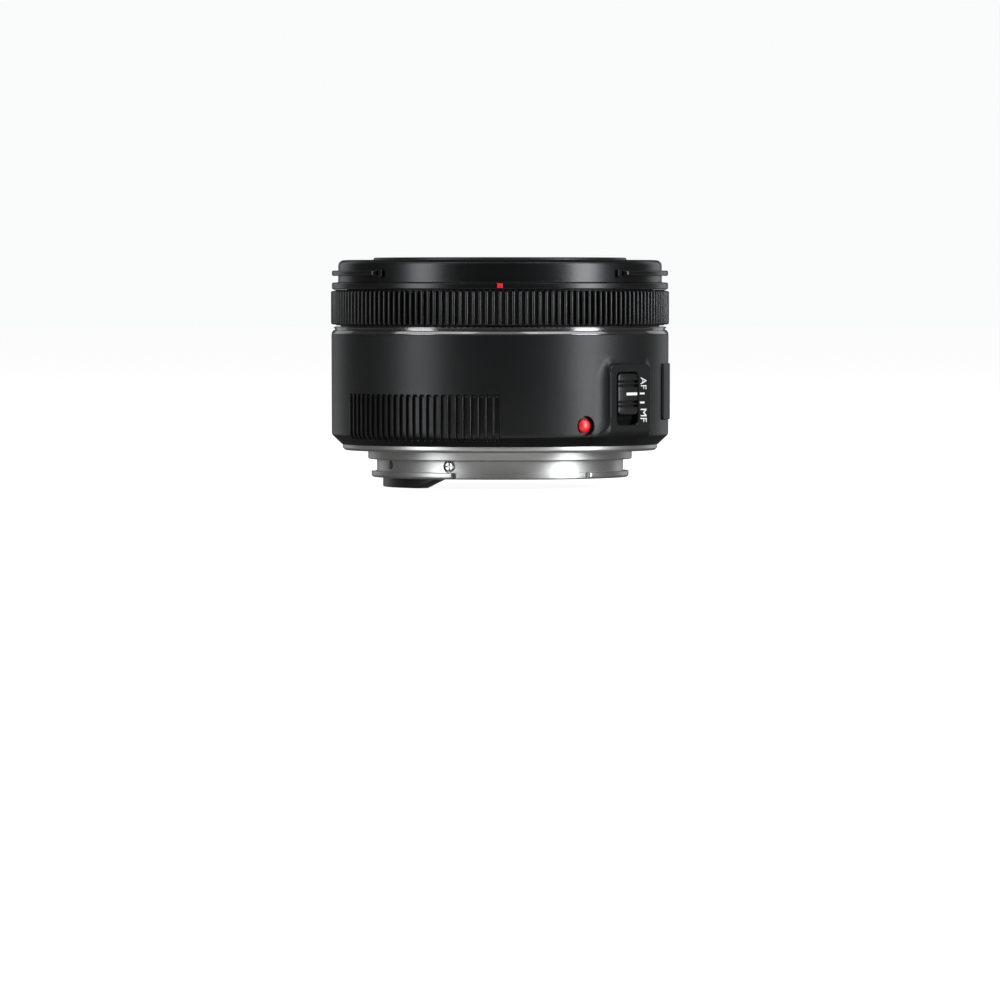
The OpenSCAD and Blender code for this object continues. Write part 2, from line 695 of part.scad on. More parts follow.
module element_1() { glass([28.4, 34, 14.6], [24, 150, 14.2], 15); }
module element_2() { glass([23.85, 20.5, 12.9], [19.95, 42, 12.9], 13.3); }
module element_3() { glass([18.15, 60, 11.2], [16.85, 13.2, 10.2], 11.9); }
module element_4() { glass([5.4, -14, 9], [4.2, 80, 10], 10.2); }
module element_5() { glass([4.19, 80, 10], [-0.6, -19, 10], 10.2); }
module element_6() { glass([-0.75, 90, 10.9], [-3.95, -38, 10.9], 11.2); }

// ---------------------------------------------------------------- diaphragm

module iris_housing() {
    color([0.06, 0.06, 0.06]) difference() {
        union() {
            ring(stop_r - 0.1, 20.6, 8.9, 9.5);
            ring(19.9, 20.6, 9.4, 12.3);
        }
        for (k = [0:blades - 1]) rotate([0, 0, 360 / blades * k]) translate([pivot_r, 0, 8])
            cylinder(r = 0.42, h = 3);
    }
}

// Blade k, open: a crescent with a pivot pin below and a drive pin above
module iris_blade(k) {
    z = blade_z + (k - 1) * blade_step;
    tip = (stop_r + blade_out) / 2;
    color([0.15, 0.15, 0.17]) rotate([0, 0, 360 / blades * (k - 1)]) {
        translate([0, 0, z]) linear_extrude(blade_t)
            polygon(concat(arc(0, 0, blade_out, 12, blade_arc - 8, 18),
                           arc(tip * cos(blade_arc - 8), tip * sin(blade_arc - 8), (blade_out - stop_r) / 2,
                               blade_arc - 8, blade_arc + 172, 8),
                           arc(0, 0, stop_r, blade_arc - 8, 1, 18),
                           [[14.5, -0.6], [pivot_r - 0.9, -0.9]],
                           arc(pivot_r, 0, 0.9, -90, 0, 4),
                           arc(drive_r * cos(drive_at), drive_r * sin(drive_at), 0.85, 20, 110, 4)));
        translate([pivot_r, 0, 8.95]) cylinder(r = pin_r, h = z - 8.95 + blade_t);
        rotate([0, 0, drive_at]) translate([drive_r, 0, z]) cylinder(r = pin_r, h = iris_z1 - 0.05 - z);
    }
}

// Place of the drive pin when the blade has turned by t, seen from the iris ring
function drive_path(t) =
    let(dx = drive_r * cos(drive_at) - pivot_r, dy = drive_r * sin(drive_at),
        x = pivot_r + dx * cos(t) - dy * sin(t), y = dx * sin(t) + dy * cos(t), back = -t / ring_ratio)
    [x * cos(back) - y * sin(back), x * sin(back) + y * cos(back)];

module iris_slot() {
    half = pin_r + 0.1;
    n = 16;
    centre = [for (i = [0:n]) drive_path(blade_swing * i / n)];
    along = [for (i = [0:n]) let(d = centre[min(i + 1, n)] - centre[max(i - 1, 0)]) d / norm(d)];
    linear_extrude(2) polygon(concat(
        [for (i = [0:n]) centre[i] + half * [-along[i][1], along[i][0]]],
        [for (i = [n:-1:0]) centre[i] - half * [-along[i][1], along[i][0]]]));
    for (c = [centre[0], centre[n]]) translate([c[0], c[1], 0]) cylinder(r = half, h = 2);
}

module iris_ring() {
    turn = blade_swing / ring_ratio;
    step = 360 / iris_teeth;
    first = -ceil((turn + 6) / step);
    last = ceil(6 / step);
    color([0.2, 0.2, 0.2]) difference() {
        union() {
            ring(11.2, 19.4, iris_z0, iris_z1);
            rotate([0, 0, iris_dir]) translate([0, 0, iris_z1 - 0.1]) linear_extrude(iris_gear_z1 - iris_z1 + 0.1)
                polygon(concat(gear_edge(iris_teeth, iris_module, first, last),
                               arc(0, 0, 15.4, (last + 1) * step, (first - 1) * step, 12)));
        }
        for (k = [0:blades - 1]) rotate([0, 0, 360 / blades * k]) translate([0, 0, iris_z0 - 0.5]) iris_slot();
    }
}

module at_iris_motor() {
    rotate([0, 0, iris_dir]) translate([iris_pinion_r, 0, 0]) rotate([0, 0, -iris_dir]) children();
}

module iris_pinion() {
    color("gold") at_iris_motor() {
        rotate([0, 0, iris_dir + 180 + 180 / iris_small]) translate([0, 0, iris_z1 + 0.05])
            gear(iris_small, iris_module, 0.75);
        translate([0, 0, 12]) cylinder(r = 0.4, h = 3);
    }
}

module iris_motor() {
    color("lightgray") at_iris_motor() difference() {
        translate([0, 0, 14.05]) cylinder(r = 1.65, h = 6.4);
        translate([0, 0, 14]) cylinder(r = 0.45, h = 1.2);
    }
}

bayonet_mount();
mount_screws();
contact_block();
contact_pins();
contact_screws();
contact_flex();
rear_shield();
fixed_barrel();
guide_tube();
cam_retainer();
main_barrel();
name_plate();
mount_index_dot();
trim_ring();
front_cover();
cover_screws();
hood_index();
dust_seal();
bearing_sleeve();
friction_spring();
main_board();
board_chips();
focus_motor();
gear_bracket();
gear_axle();
ring_sensors();
switch_plate();
switch_knob();
focus_ring();
encoder_comb();
cam_ring();
reduction_gear();
motor_pinion();
front_barrel();
name_ring();
lens_carrier();
cam_followers();
lock_ring();
front_cell();
front_retainer();
spacer_ring();
rear_cell();
rear_retainer();
iris_housing();
iris_motor();
iris_ring();
iris_pinion();
element_1();
element_2();
element_3();
element_4();
element_5();
element_6();
for (k = [1:blades]) iris_blade(k);
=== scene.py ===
"""Finished looks for a compact normal prime lens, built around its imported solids.

Lengths in the piece builders are millimetres, and PHI is the direction round the barrel in degrees:
0 is -Y, the side with the hood index, and 90 is +X. Meshes are written in metres.
"""

import json
import math

import bmesh
import bpy
from mathutils import Euler, Matrix, Vector


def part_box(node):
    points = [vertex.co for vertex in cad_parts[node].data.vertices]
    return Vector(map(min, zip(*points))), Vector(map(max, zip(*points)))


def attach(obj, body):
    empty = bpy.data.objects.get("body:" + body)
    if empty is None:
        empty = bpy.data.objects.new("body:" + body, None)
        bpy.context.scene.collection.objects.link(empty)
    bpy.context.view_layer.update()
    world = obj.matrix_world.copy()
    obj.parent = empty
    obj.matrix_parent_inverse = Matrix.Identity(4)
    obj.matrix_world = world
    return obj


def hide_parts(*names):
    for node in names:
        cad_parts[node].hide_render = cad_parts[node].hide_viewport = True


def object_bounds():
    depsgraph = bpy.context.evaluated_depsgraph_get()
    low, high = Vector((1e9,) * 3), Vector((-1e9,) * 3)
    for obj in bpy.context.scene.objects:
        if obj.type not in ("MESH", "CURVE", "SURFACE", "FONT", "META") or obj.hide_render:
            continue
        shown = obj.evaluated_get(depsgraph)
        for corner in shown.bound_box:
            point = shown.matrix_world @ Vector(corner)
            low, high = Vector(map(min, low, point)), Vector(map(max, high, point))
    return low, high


bl_info = {
    "name": "Prime Lens Builder",
    "version": (1, 0, 0),
    "blender": (4, 5, 0),
    "location": "View3D > Sidebar > Prime Lens",
    "description": "Builds the shells, glass, marks and finishes of a compact prime lens",
    "category": "Object",
}

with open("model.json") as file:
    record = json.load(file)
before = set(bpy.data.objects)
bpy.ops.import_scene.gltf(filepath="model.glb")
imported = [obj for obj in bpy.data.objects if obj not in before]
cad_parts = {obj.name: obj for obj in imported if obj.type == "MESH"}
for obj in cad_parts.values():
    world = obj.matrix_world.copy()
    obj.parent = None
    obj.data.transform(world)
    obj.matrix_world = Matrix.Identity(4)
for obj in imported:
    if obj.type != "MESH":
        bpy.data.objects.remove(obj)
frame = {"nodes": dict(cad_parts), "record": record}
CAD_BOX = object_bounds()
NODES = frame["nodes"]
MM = 0.001
TOP_Z = CAD_BOX[1].z / MM  # height of the front rim
FOOT_Z = CAD_BOX[0].z / MM  # what the lens stands on
RIB_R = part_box("focus_ring")[1].x / MM
SWITCH_PHI = 49.0  # angle of the switch panel
SKIN_R = 34.5  # outer radius of the barrel's wall
INDEX_PHI = 30.1  # angle of the red mount index
LOCATING_PHI = -62  # angle of the locating hole beside the contact screws
CONTACT_PHI, CONTACT_PITCH, CONTACT_R = -49, -6.1, 22.25  # first contact's angle, step between them, radius
PANEL_D = 34.95  # distance of the switch panel's face from the axis


# ---------------------------------------------------------------- outlines


def around(phi, r, z):
    """A point at an angle round the lens axis, with 0 facing the camera."""
    a = math.radians(phi - 90)
    return (r * math.cos(a), r * math.sin(a), z)


def on_panel(u, d, z):
    """A point of the switch panel: u along it, d from the lens axis, z up."""
    a = math.radians(SWITCH_PHI - 90)
    return (d * math.cos(a) - u * math.sin(a), d * math.sin(a) + u * math.cos(a), z)


def on_side(phi, z0=0.0):
    """Places points on a flat that faces outward at an angle: u along it, d from the axis, z above z0."""
    def place(u, d, z):
        return tuple(Vector(around(phi, d, z + z0)) + Vector(around(phi + 90, u, 0)))
    return place


def on_end(phi, r):
    """Places points on a flat that faces along the axis: u outward from r, d along the axis, w across."""
    def place(u, d, w):
        return tuple(Vector(around(phi, r + u, d)) + Vector(around(phi + 90, w, 0)))
    return place


def drop_outline(half_u, half_z, top):
    """The locating hole's outline: a circle at the contact screws' height, drawn up to a point."""
    arc = [math.radians(a) for a in range(-210, 31, 20)]
    return [*((half_u * math.cos(a), half_z * math.sin(a) - 2.9) for a in arc), (0, top)]


def eased(points, radius=0.1, steps=3, closed=True):
    """An outline with its corners rounded. A point may hold its own radius as a third number."""
    out, n = [], len(points)
    for i, p in enumerate(points):
        r = p[2] if len(p) > 2 else radius
        here = Vector(p[:2])
        if r <= 0 or (not closed and i in (0, n - 1)):
            out.append(tuple(here))
            continue
        back, on = Vector(points[i - 1][:2]) - here, Vector(points[(i + 1) % n][:2]) - here
        turn = math.pi - back.angle(on)
        if turn < 0.05:
            out.append(tuple(here))
            continue
        reach = min(r * math.tan(turn / 2), back.length * 0.48, on.length * 0.48)
        a, b = here + back.normalized() * reach, here + on.normalized() * reach
        for k in range(steps + 1):
            t = k / steps
            out.append(tuple(a.lerp(here, t).lerp(here.lerp(b, t), t)))
    return out


def round_box(u0, u1, z0, z1, radii, steps=5):
    """A rectangle with round corners: radii for top right, top left, bottom left and bottom right."""
    radii = radii if isinstance(radii, (tuple, list)) else (radii,) * 4
    out = []
    for k, (cx, cz) in enumerate(((u1, z1), (u0, z1), (u0, z0), (u1, z0))):
        r = radii[k]
        ox, oz = cx - r if k in (0, 3) else cx + r, cz - r if k in (0, 1) else cz + r
        for i in range(steps + 1):
            a = math.radians(90 * k + 90 * i / steps)
            out.append((ox + r * math.cos(a), oz + r * math.sin(a)))
    return out


def arc_z(vertex, curve, x):
    """Height of a lens surface x away from the axis."""
    return vertex - curve + math.copysign(math.sqrt(curve * curve - x * x), curve)


# ---------------------------------------------------------------- meshes


def new_object(name, points, faces):
    mesh = bpy.data.meshes.new(name)
    mesh.from_pydata([Vector(p) * MM for p in points], [], faces)
    bm = bmesh.new()
    bm.from_mesh(mesh)
    bmesh.ops.remove_doubles(bm, verts=bm.verts, dist=1e-7)
    bmesh.ops.dissolve_degenerate(bm, edges=bm.edges, dist=1e-7)
    bmesh.ops.delete(bm, geom=[e for e in bm.edges if not e.link_faces], context="EDGES")
    bmesh.ops.recalc_face_normals(bm, faces=bm.faces)
    bm.to_mesh(mesh)
    bm.free()
    obj = bpy.data.objects.new(name, mesh)
    bpy.context.scene.collection.objects.link(obj)
    return obj


def lofted(name, sections, ring=False):
    """A closed skin through loops of equally many points. A ring joins the last loop to the first."""
    n, m = len(sections), len(sections[0])
    points = [p for s in sections for p in s]
    faces = [
        (i * m + j, i * m + (j + 1) % m, (i + 1) % n * m + (j + 1) % m, (i + 1) % n * m + j)
        for i in range(n if ring else n - 1)
        for j in range(m)
    ]
    if not ring:
        faces += [tuple(range(m)), tuple((n - 1) * m + j for j in range(m))]
    return new_object(name, points, faces)


def turned(name, outline, segments=192):
    """A solid of revolution from a closed outline of radius and height."""
    step = 360 / segments
    return lofted(name, [[around(step * i, r, z) for r, z in outline] for i in range(segments)], ring=True)


def swept(name, outline, phi0, phi1, inner, step=1.5, ends=1.2):
    """Part of a turned ring whose ends are rounded down to the inner radius over a few degrees."""
    count = max(2, round((phi1 - phi0) / step))
    stations = sorted({phi0 + ends * (1 - math.cos(k * math.pi / 10)) for k in range(6)}
                      | {phi1 - ends * (1 - math.cos(k * math.pi / 10)) for k in range(6)}
                      | {phi0 + ends + (phi1 - phi0 - 2 * ends) * k / count for k in range(count + 1)})
    sections = []
    for phi in stations:
        t = min(1.0, (phi - phi0) / ends, (phi1 - phi) / ends)
        rise = math.sqrt(max(0.0, 1 - (1 - t) ** 2))
        rise = 0.25 + 0.75 * rise
        sections.append([around(phi, inner + (r - inner) * rise, z) for r, z in outline])
    return lofted(name, sections)


def pushed(name, outline, levels, place):
    """A prism through levels of (distance, outset) from an outline, laid out by place(u, distance, z)."""
    cx = sum(p[0] for p in outline) / len(outline)
    cz = sum(p[1] for p in outline) / len(outline)
    half_u, half_z = max(abs(p[0] - cx) for p in outline), max(abs(p[1] - cz) for p in outline)
    sections = []
    for d, grow in levels:
        ku, kz = 1 + grow / half_u, 1 + grow / half_z
        sections.append([place(cx + (u - cx) * ku, d, cz + (z - cz) * kz) for u, z in outline])
    return lofted(name, sections)


def evaluated(obj):
    """Makes the result of an object's modifiers its own plain mesh."""
    graph = bpy.context.evaluated_depsgraph_get()
    graph.update()
    mesh = bpy.data.meshes.new_from_object(obj.evaluated_get(graph))
    obj.modifiers.clear()
    obj.data = mesh
    return obj


def merged(name, objects):
    """One object from several, whose parts stay apart."""
    bm = bmesh.new()
    for o in objects:
        bm.from_mesh(o.data)
        bpy.data.objects.remove(o)
    mesh = bpy.data.meshes.new(name)
    bm.to_mesh(mesh)
    bm.free()
    obj = bpy.data.objects.new(name, mesh)
    bpy.context.scene.collection.objects.link(obj)
    return obj


def carved(obj, tools, how="DIFFERENCE"):
    """Cuts tools out of an object, or joins them to it, and cleans up the seams."""
    tool = merged("tool", tools)
    modifier = obj.modifiers.new("cut", "BOOLEAN")
    modifier.operation, modifier.solver, modifier.object = how, "EXACT", tool
    evaluated(obj)
    bpy.data.objects.remove(tool)
    bm = bmesh.new()
    bm.from_mesh(obj.data)
    bmesh.ops.remove_doubles(bm, verts=bm.verts, dist=2e-7)
    bmesh.ops.dissolve_degenerate(bm, edges=bm.edges, dist=2e-7)
    bm.to_mesh(obj.data)
    bm.free()
    return obj


def done(obj, body, finish, replaces=(), sharp=32):
    """Shades a finished piece, gives it its material and sets it on its body."""
    obj.data.materials.clear()
    obj.data.materials.append(finish)
    obj.data.shade_smooth()
    obj.data.set_sharp_from_angle(angle=math.radians(sharp))
    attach(obj, body)
    if replaces:
        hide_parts(*replaces)
    return obj


# ---------------------------------------------------------------- geometry nodes


def ring_of_pieces():
    """Geometry nodes that set copies of a piece round the lens axis."""
    tree = bpy.data.node_groups.new("Ring of pieces", "GeometryNodeTree")
    face = tree.interface
    face.new_socket("Piece", in_out="INPUT", socket_type="NodeSocketGeometry")
    count = face.new_socket("Count", in_out="INPUT", socket_type="NodeSocketInt")
    start = face.new_socket("First angle", in_out="INPUT", socket_type="NodeSocketFloat")
    step = face.new_socket("Pitch angle", in_out="INPUT", socket_type="NodeSocketFloat")
    stuff = face.new_socket("Finish", in_out="INPUT", socket_type="NodeSocketMaterial")
    face.new_socket("Pieces", in_out="OUTPUT", socket_type="NodeSocketGeometry")
    start.subtype = step.subtype = "ANGLE"
    add, link = tree.nodes.new, tree.links.new
    inputs, result = add("NodeGroupInput"), add("NodeGroupOutput")
    row, index = add("GeometryNodeMeshLine"), add("GeometryNodeInputIndex")
    angle, turn = add("ShaderNodeMath"), add("ShaderNodeCombineXYZ")
    angle.operation = "MULTIPLY_ADD"
    place, real, paint = (add(kind) for kind in (
        "GeometryNodeInstanceOnPoints", "GeometryNodeRealizeInstances", "GeometryNodeSetMaterial"))
    row.inputs["Offset"].default_value = (0, 0, 0)
    link(inputs.outputs["Count"], row.inputs["Count"])
    link(index.outputs[0], angle.inputs[0])
    link(inputs.outputs["Pitch angle"], angle.inputs[1])
    link(inputs.outputs["First angle"], angle.inputs[2])
    link(angle.outputs[0], turn.inputs["Z"])
    link(row.outputs[0], place.inputs["Points"])
    link(inputs.outputs["Piece"], place.inputs["Instance"])
    link(turn.outputs[0], place.inputs["Rotation"])
    link(place.outputs[0], real.inputs[0])
    link(real.outputs[0], paint.inputs["Geometry"])
    link(inputs.outputs["Finish"], paint.inputs["Material"])
    link(paint.outputs[0], result.inputs[0])
    return tree, {"count": count.identifier, "start": start.identifier, "step": step.identifier,
                  "finish": stuff.identifier}


def repeated(piece, count, phi0, pitch, finish=None):
    """Repeats a piece, drawn at phi 90, round the axis as one plain mesh."""
    tree = bpy.data.node_groups.get("Ring of pieces")
    if tree is None:
        tree, ids = ring_of_pieces()
        tree["inputs"] = ids
    ids = tree["inputs"]
    modifier = piece.modifiers.new("ring", "NODES")
    modifier.node_group = tree
    modifier[ids["count"]] = count
    modifier[ids["start"]] = math.radians(phi0 - 90)
    modifier[ids["step"]] = math.radians(pitch)
    if finish:
        modifier[ids["finish"]] = finish
    return evaluated(piece)


# ---------------------------------------------------------------- finishes


class Value:
    """A shader socket that can be added to, multiplied and so on."""

    def __init__(self, paint, socket):
        self.paint, self.socket = paint, socket

    def math(self, operation, a, b=0.0):
        return self.paint.node("ShaderNodeMath", {"operation": operation}, **{"0": a, "1": b})

    def __add__(self, other):
        return self.math("ADD", self, other)

    def __radd__(self, other):
        return self.math("ADD", other, self)

    def __sub__(self, other):
        return self.math("SUBTRACT", self, other)

    def __rsub__(self, other):
        return self.math("SUBTRACT", other, self)

    def __mul__(self, other):
        return self.math("MULTIPLY", self, other)

    def __rmul__(self, other):
        return self.math("MULTIPLY", other, self)

    def __truediv__(self, other):
        return self.math("DIVIDE", self, other)

    def __pow__(self, other):
        return self.math("POWER", self, other)


class Paint:
    """One material being made. Its node() adds any node and returns the first output, or the named one."""

    def __init__(self, name):
        self.material = bpy.data.materials.new(name)
        self.material.use_nodes = True
        self.tree = self.material.node_tree
        self.tree.nodes.clear()
        self.place = self.node("ShaderNodeTexCoord", out="Object")

    def node(self, kind, settings=None, out=0, **sockets):
        made = self.tree.nodes.new(kind)
        for key, value in (settings or {}).items():
            if key == "stops":
                for stop, (at, colour) in zip(made.color_ramp.elements, value):
                    stop.position, stop.color = at, (*colour, 1)
            else:
                setattr(made, key, value)
        for key, value in sockets.items():
            socket = made.inputs[int(key)] if key.isdigit() else made.inputs[key.replace("_", " ")]
            if isinstance(value, Value):
                self.tree.links.new(value.socket, socket)
            else:
                socket.default_value = value
        return Value(self, made.outputs[out])

    def noise(self, scale, detail=3.0, rough=0.55, at=None):
        """A fractal noise over the piece's own place, or over the vector given."""
        return self.node("ShaderNodeTexNoise", Vector=at or self.place, Scale=scale, Detail=detail,
                         Roughness=rough)

    def fade(self, value, full, none, peak=1.0):
        """A mask that falls from peak to 0 as a value goes from full to none."""
        return self.node("ShaderNodeMapRange", Value=value, From_Min=full, From_Max=none, To_Min=peak,
                         To_Max=0.0)

    def blend(self, factor, a, b):
        """A colour between two others. Colours are given as three numbers or as a socket."""
        made = self.tree.nodes.new("ShaderNodeMix")
        made.data_type = "RGBA"
        for socket, value in ((made.inputs[0], factor), (made.inputs[6], a), (made.inputs[7], b)):
            if isinstance(value, Value):
                self.tree.links.new(value.socket, socket)
            elif isinstance(value, (tuple, list)):
                socket.default_value = (*value, 1)
            else:
                socket.default_value = value
        return Value(self, made.outputs[2])

    def polar(self):
        """Radius and height in metres, for marks left by turning on a lathe."""
        x = self.node("ShaderNodeSeparateXYZ", out="X", Vector=self.place)
        y = self.node("ShaderNodeSeparateXYZ", out="Y", Vector=self.place)
        z = self.node("ShaderNodeSeparateXYZ", out="Z", Vector=self.place)
        radius = (x * x + y * y) ** 0.5
        return self.node("ShaderNodeCombineXYZ", X=radius, Y=0.0, Z=z)

    def bump(self, height, strength, distance, normal=None):
        return self.node("ShaderNodeBump", Height=height, Strength=strength, Distance=distance,
                         **({"Normal": normal} if normal else {}))

    def surface(self, **sockets):
        """Ends the material in one principled surface, and returns it."""
        shader = self.node("ShaderNodeBsdfPrincipled", **sockets)
        made = self.tree.nodes.new("ShaderNodeOutputMaterial")
        self.tree.links.new(shader.socket, made.inputs["Surface"])
        return self.material


def shade(colour, k):
    return tuple(min(1.0, c * k) for c in colour)


def moulded(name, colour, rough=0.42, grain=5200.0, depth=0.5, specks=0.0, level=0.5):
    """Moulded plastic: a fine spark-eroded grain, cloudy gloss, and glass fibre specks if asked."""
    p = Paint(name)
    fine = p.noise(grain, 2.0)
    cloud = p.noise(90.0, 3.0)
    rub = p.noise(700.0, 4.0, 0.7)
    tint = p.blend(cloud, shade(colour, 0.86), shade(colour, 1.14))
    if specks:
        dots = p.node("ShaderNodeTexVoronoi", {"feature": "F1"}, Vector=p.place, Scale=grain * 0.4)
        tint = p.blend(p.fade(dots, 0.12, 0.2, specks), tint, shade(colour, 4.0))
    rough_map = rough - 0.05 + cloud * 0.06 + rub * 0.05
    relief = p.bump(fine, depth, 0.00003, p.bump(rub, depth * 0.3, 0.00002))
    return p.surface(Base_Color=tint, Roughness=rough_map, Normal=relief, Specular_IOR_Level=level)


def lathed(name, colour, rough=0.24, marks=9000.0, depth=0.25, metal=1.0, stretch=0.0):
    """Turned metal: fine rings where the tool went round, with a few soft stains."""
    p = Paint(name)
    rings = p.noise(marks, 2.0, 0.6, p.polar())
    broad = p.noise(1500.0, 2.0, 0.5, p.polar())
    stain = p.noise(140.0, 4.0, 0.6)
    tint = p.blend(stain, shade(colour, 0.9), shade(colour, 1.05))
    tint = p.blend(rings * 0.35, tint, shade(colour, 0.72))
    rough_map = rough - 0.06 + rings * 0.1 + broad * 0.04 + stain * 0.05
    relief = p.bump(rings, depth, 0.00001, p.bump(broad, depth * 0.6, 0.00001))
    return p.surface(Base_Color=tint, Roughness=rough_map, Normal=relief, Metallic=metal, Anisotropic=stretch,
                     Anisotropic_Rotation=0.25)


def enamel(name, colour, rough=0.18, coat=1.0, metal=0.0):
    """Glossy paint or polished metal with faint orange peel."""
    p = Paint(name)
    peel = p.noise(1400.0, 2.0)
    cloud = p.noise(260.0, 3.0)
    tint = p.blend(cloud, shade(colour, 0.9), shade(colour, 1.1))
    return p.surface(Base_Color=tint, Roughness=rough + cloud * 0.05, Metallic=metal, Coat_Weight=coat,
                     Coat_Roughness=0.05, Normal=p.bump(peel, 0.12, 0.00002))


def cloth_pile(name, colour):
    """Felt: a short matted pile."""
    p = Paint(name)
    pile = p.noise(7000.0, 5.0, 0.75)
    tufts = p.noise(1900.0, 3.0)
    tint = p.blend(tufts, shade(colour, 0.7), shade(colour, 1.6))
    return p.surface(Base_Color=tint, Roughness=0.92 + pile * 0.06, Normal=p.bump(pile + tufts, 0.8, 0.00008),
                     Sheen_Weight=0.4)


def solder_mask(name, colour, track):
    """Circuit board or flexible print: tracks showing through a coloured coat."""
    p = Paint(name)
    cells = p.node("ShaderNodeTexVoronoi", {"feature": "DISTANCE_TO_EDGE"}, Vector=p.place, Scale=900.0)
    line = p.fade(cells, 0.05, 0.09)
    weave = p.noise(2600.0, 2.0)
    tint = p.blend(line, colour, track)
    relief = p.bump(line + weave * 0.3, 0.4, 0.00003)
    return p.surface(Base_Color=tint, Roughness=0.3 + weave * 0.1, Normal=relief)


def coated_glass(name, tint, level):
    """Optical glass with an anti-reflection coating that colours its reflections, and a breath of dust."""
    p = Paint(name)
    dust = p.noise(2400.0, 5.0, 0.8)
    haze = p.node("ShaderNodeMapRange", Value=dust, From_Min=0.62, From_Max=0.8, To_Min=0.0, To_Max=0.05)
    return p.surface(Base_Color=(0.97, 0.985, 0.98, 1), Roughness=haze, Transmission_Weight=1.0, IOR=1.6,
                     Specular_IOR_Level=level, Specular_Tint=(*tint, 1))


def print_ink(name, colour):
    """Screen printed ink, slightly uneven."""
    p = Paint(name)
    grain = p.noise(4200.0, 3.0)
    tint = p.blend(grain, shade(colour, 0.88), colour)
    return p.surface(Base_Color=tint, Roughness=0.5 + grain * 0.1, Normal=p.bump(grain, 0.2, 0.00001))


FINISHES = {
    "mount_metal": lambda o: lathed("Plated mount", (0.62, 0.615, 0.605), 0.44, 7000.0, 0.5, 1.0, 0.6),
    "screw_steel": lambda o: lathed("Screw steel", (0.6, 0.6, 0.61), 0.24, 6000.0),
    "contact_plastic": lambda o: moulded("Contact block plastic", (0.012, 0.012, 0.013), 0.36, 4200.0, 0.35),
    "contact_gold": lambda o: lathed("Contact gold", (0.95, 0.62, 0.22), 0.2, 5000.0, 0.15),
    "flex_print": lambda o: solder_mask("Flexible print", (0.42, 0.17, 0.03), (0.6, 0.3, 0.08)),
    "shield_black": lambda o: moulded("Rear shield black", (0.008, 0.008, 0.009), 0.55, 3600.0, 0.5),
    "inner_plastic": lambda o: moulded("Inner plastic", (0.02, 0.02, 0.022), 0.5, 3000.0, 0.4, 0.5),
    "barrel_plastic": lambda o: moulded("Barrel plastic", tuple(o.barrel), o.barrel_roughness, 5200.0,
                                        0.42, 0.0, 0.31),
    "cover_plastic": lambda o: moulded("Cover plastic", shade(tuple(o.barrel), 0.8),
                                       o.barrel_roughness - 0.12, 5200.0, 0.12, 0.0, 0.36),
    "front_plastic": lambda o: moulded("Front barrel plastic", (0.007, 0.007, 0.0073), 0.4, 4800.0, 0.4,
                                       0.0, 0.36),
    "plate_dark": lambda o: moulded("Name plate lacquer", (0.004, 0.0042, 0.0045), 0.46, 5200.0, 0.1, 0.0,
                                    0.16),
    "index_red": lambda o: enamel("Index red", tuple(o.index_red), 0.36, 0.2),
    "trim_gloss": lambda o: enamel("Polished trim", (0.13, 0.125, 0.125), 0.12, 0.5, 0.9),
    "seal_felt": lambda o: cloth_pile("Seal felt", (0.012, 0.012, 0.012)),
    "bearing_plastic": lambda o: moulded("Bearing plastic", (0.62, 0.61, 0.57), 0.38, 3000.0, 0.2),
    "spring_steel": lambda o: lathed("Spring steel", (0.56, 0.56, 0.57), 0.22),
    "board_green": lambda o: solder_mask("Board mask", (0.006, 0.09, 0.035), (0.02, 0.2, 0.08)),
    "chip_black": lambda o: moulded("Chip epoxy", (0.016, 0.016, 0.017), 0.5, 5200.0, 0.6),
    "motor_case": lambda o: lathed("Motor can", (0.5, 0.5, 0.51), 0.28, 5000.0),
    "gear_brass": lambda o: lathed("Gear brass", (0.72, 0.5, 0.2), 0.25, 5000.0),
    "gear_plastic": lambda o: moulded("Gear plastic", (0.7, 0.69, 0.64), 0.4, 3000.0, 0.2),
    "focus_ring_plastic": lambda o: moulded("Focus ring plastic", shade(tuple(o.barrel), 0.9),
                                            o.barrel_roughness - 0.04, 5200.0, 0.14, 0.0, 0.5),
    "comb_black": lambda o: moulded("Comb plastic", (0.015, 0.015, 0.016), 0.55, 3200.0, 0.3),
    "knob_plastic": lambda o: moulded("Knob plastic", shade(tuple(o.barrel), 1.1), 0.33, 5200.0, 0.3, 0.0,
                                      0.5),
    # Darker and far less glossy than the plastic round it: the slide's own black plus painted shade for the
    # floor of the switch slot
    "slide_black": lambda o: moulded("Switch slide black", (0.003, 0.003, 0.0032), 0.6, 4200.0, 0.4, 0.0,
                                     0.08),
    "cam_plastic": lambda o: moulded("Cam plastic", (0.03, 0.03, 0.033), 0.42, 3000.0, 0.3, 0.5),
    "cell_black": lambda o: lathed("Cell black", (0.01, 0.01, 0.011), 0.55, 3500.0, 0.3, 0.0),
    "iris_plastic": lambda o: moulded("Diaphragm plastic", (0.012, 0.012, 0.013), 0.55, 3200.0, 0.3),
    "blade_steel": lambda o: lathed("Blade steel", (0.035, 0.035, 0.038), 0.42, 6000.0, 0.2, 0.8),
    "glass_front": lambda o: coated_glass("Front glass", (0.62, 0.35, 1.0), 0.28),
    "glass_rear": lambda o: coated_glass("Rear glass", (1.0, 0.72, 0.35), 0.26),
    "print_white": lambda o: print_ink("White print", tuple(o.marking)),
}


def finish(name):
    """The material for a slot of the record, made once."""
    made = bpy.context.scene.get("lens_finishes") or {}
    if name not in made or made[name] not in bpy.data.materials:
        material = FINISHES[name](bpy.context.scene.lens_colours)
        made = dict(made)
        made[name] = material.name
        bpy.context.scene["lens_finishes"] = made
    return bpy.data.materials[made[name]]


# ---------------------------------------------------------------- sizes and colours


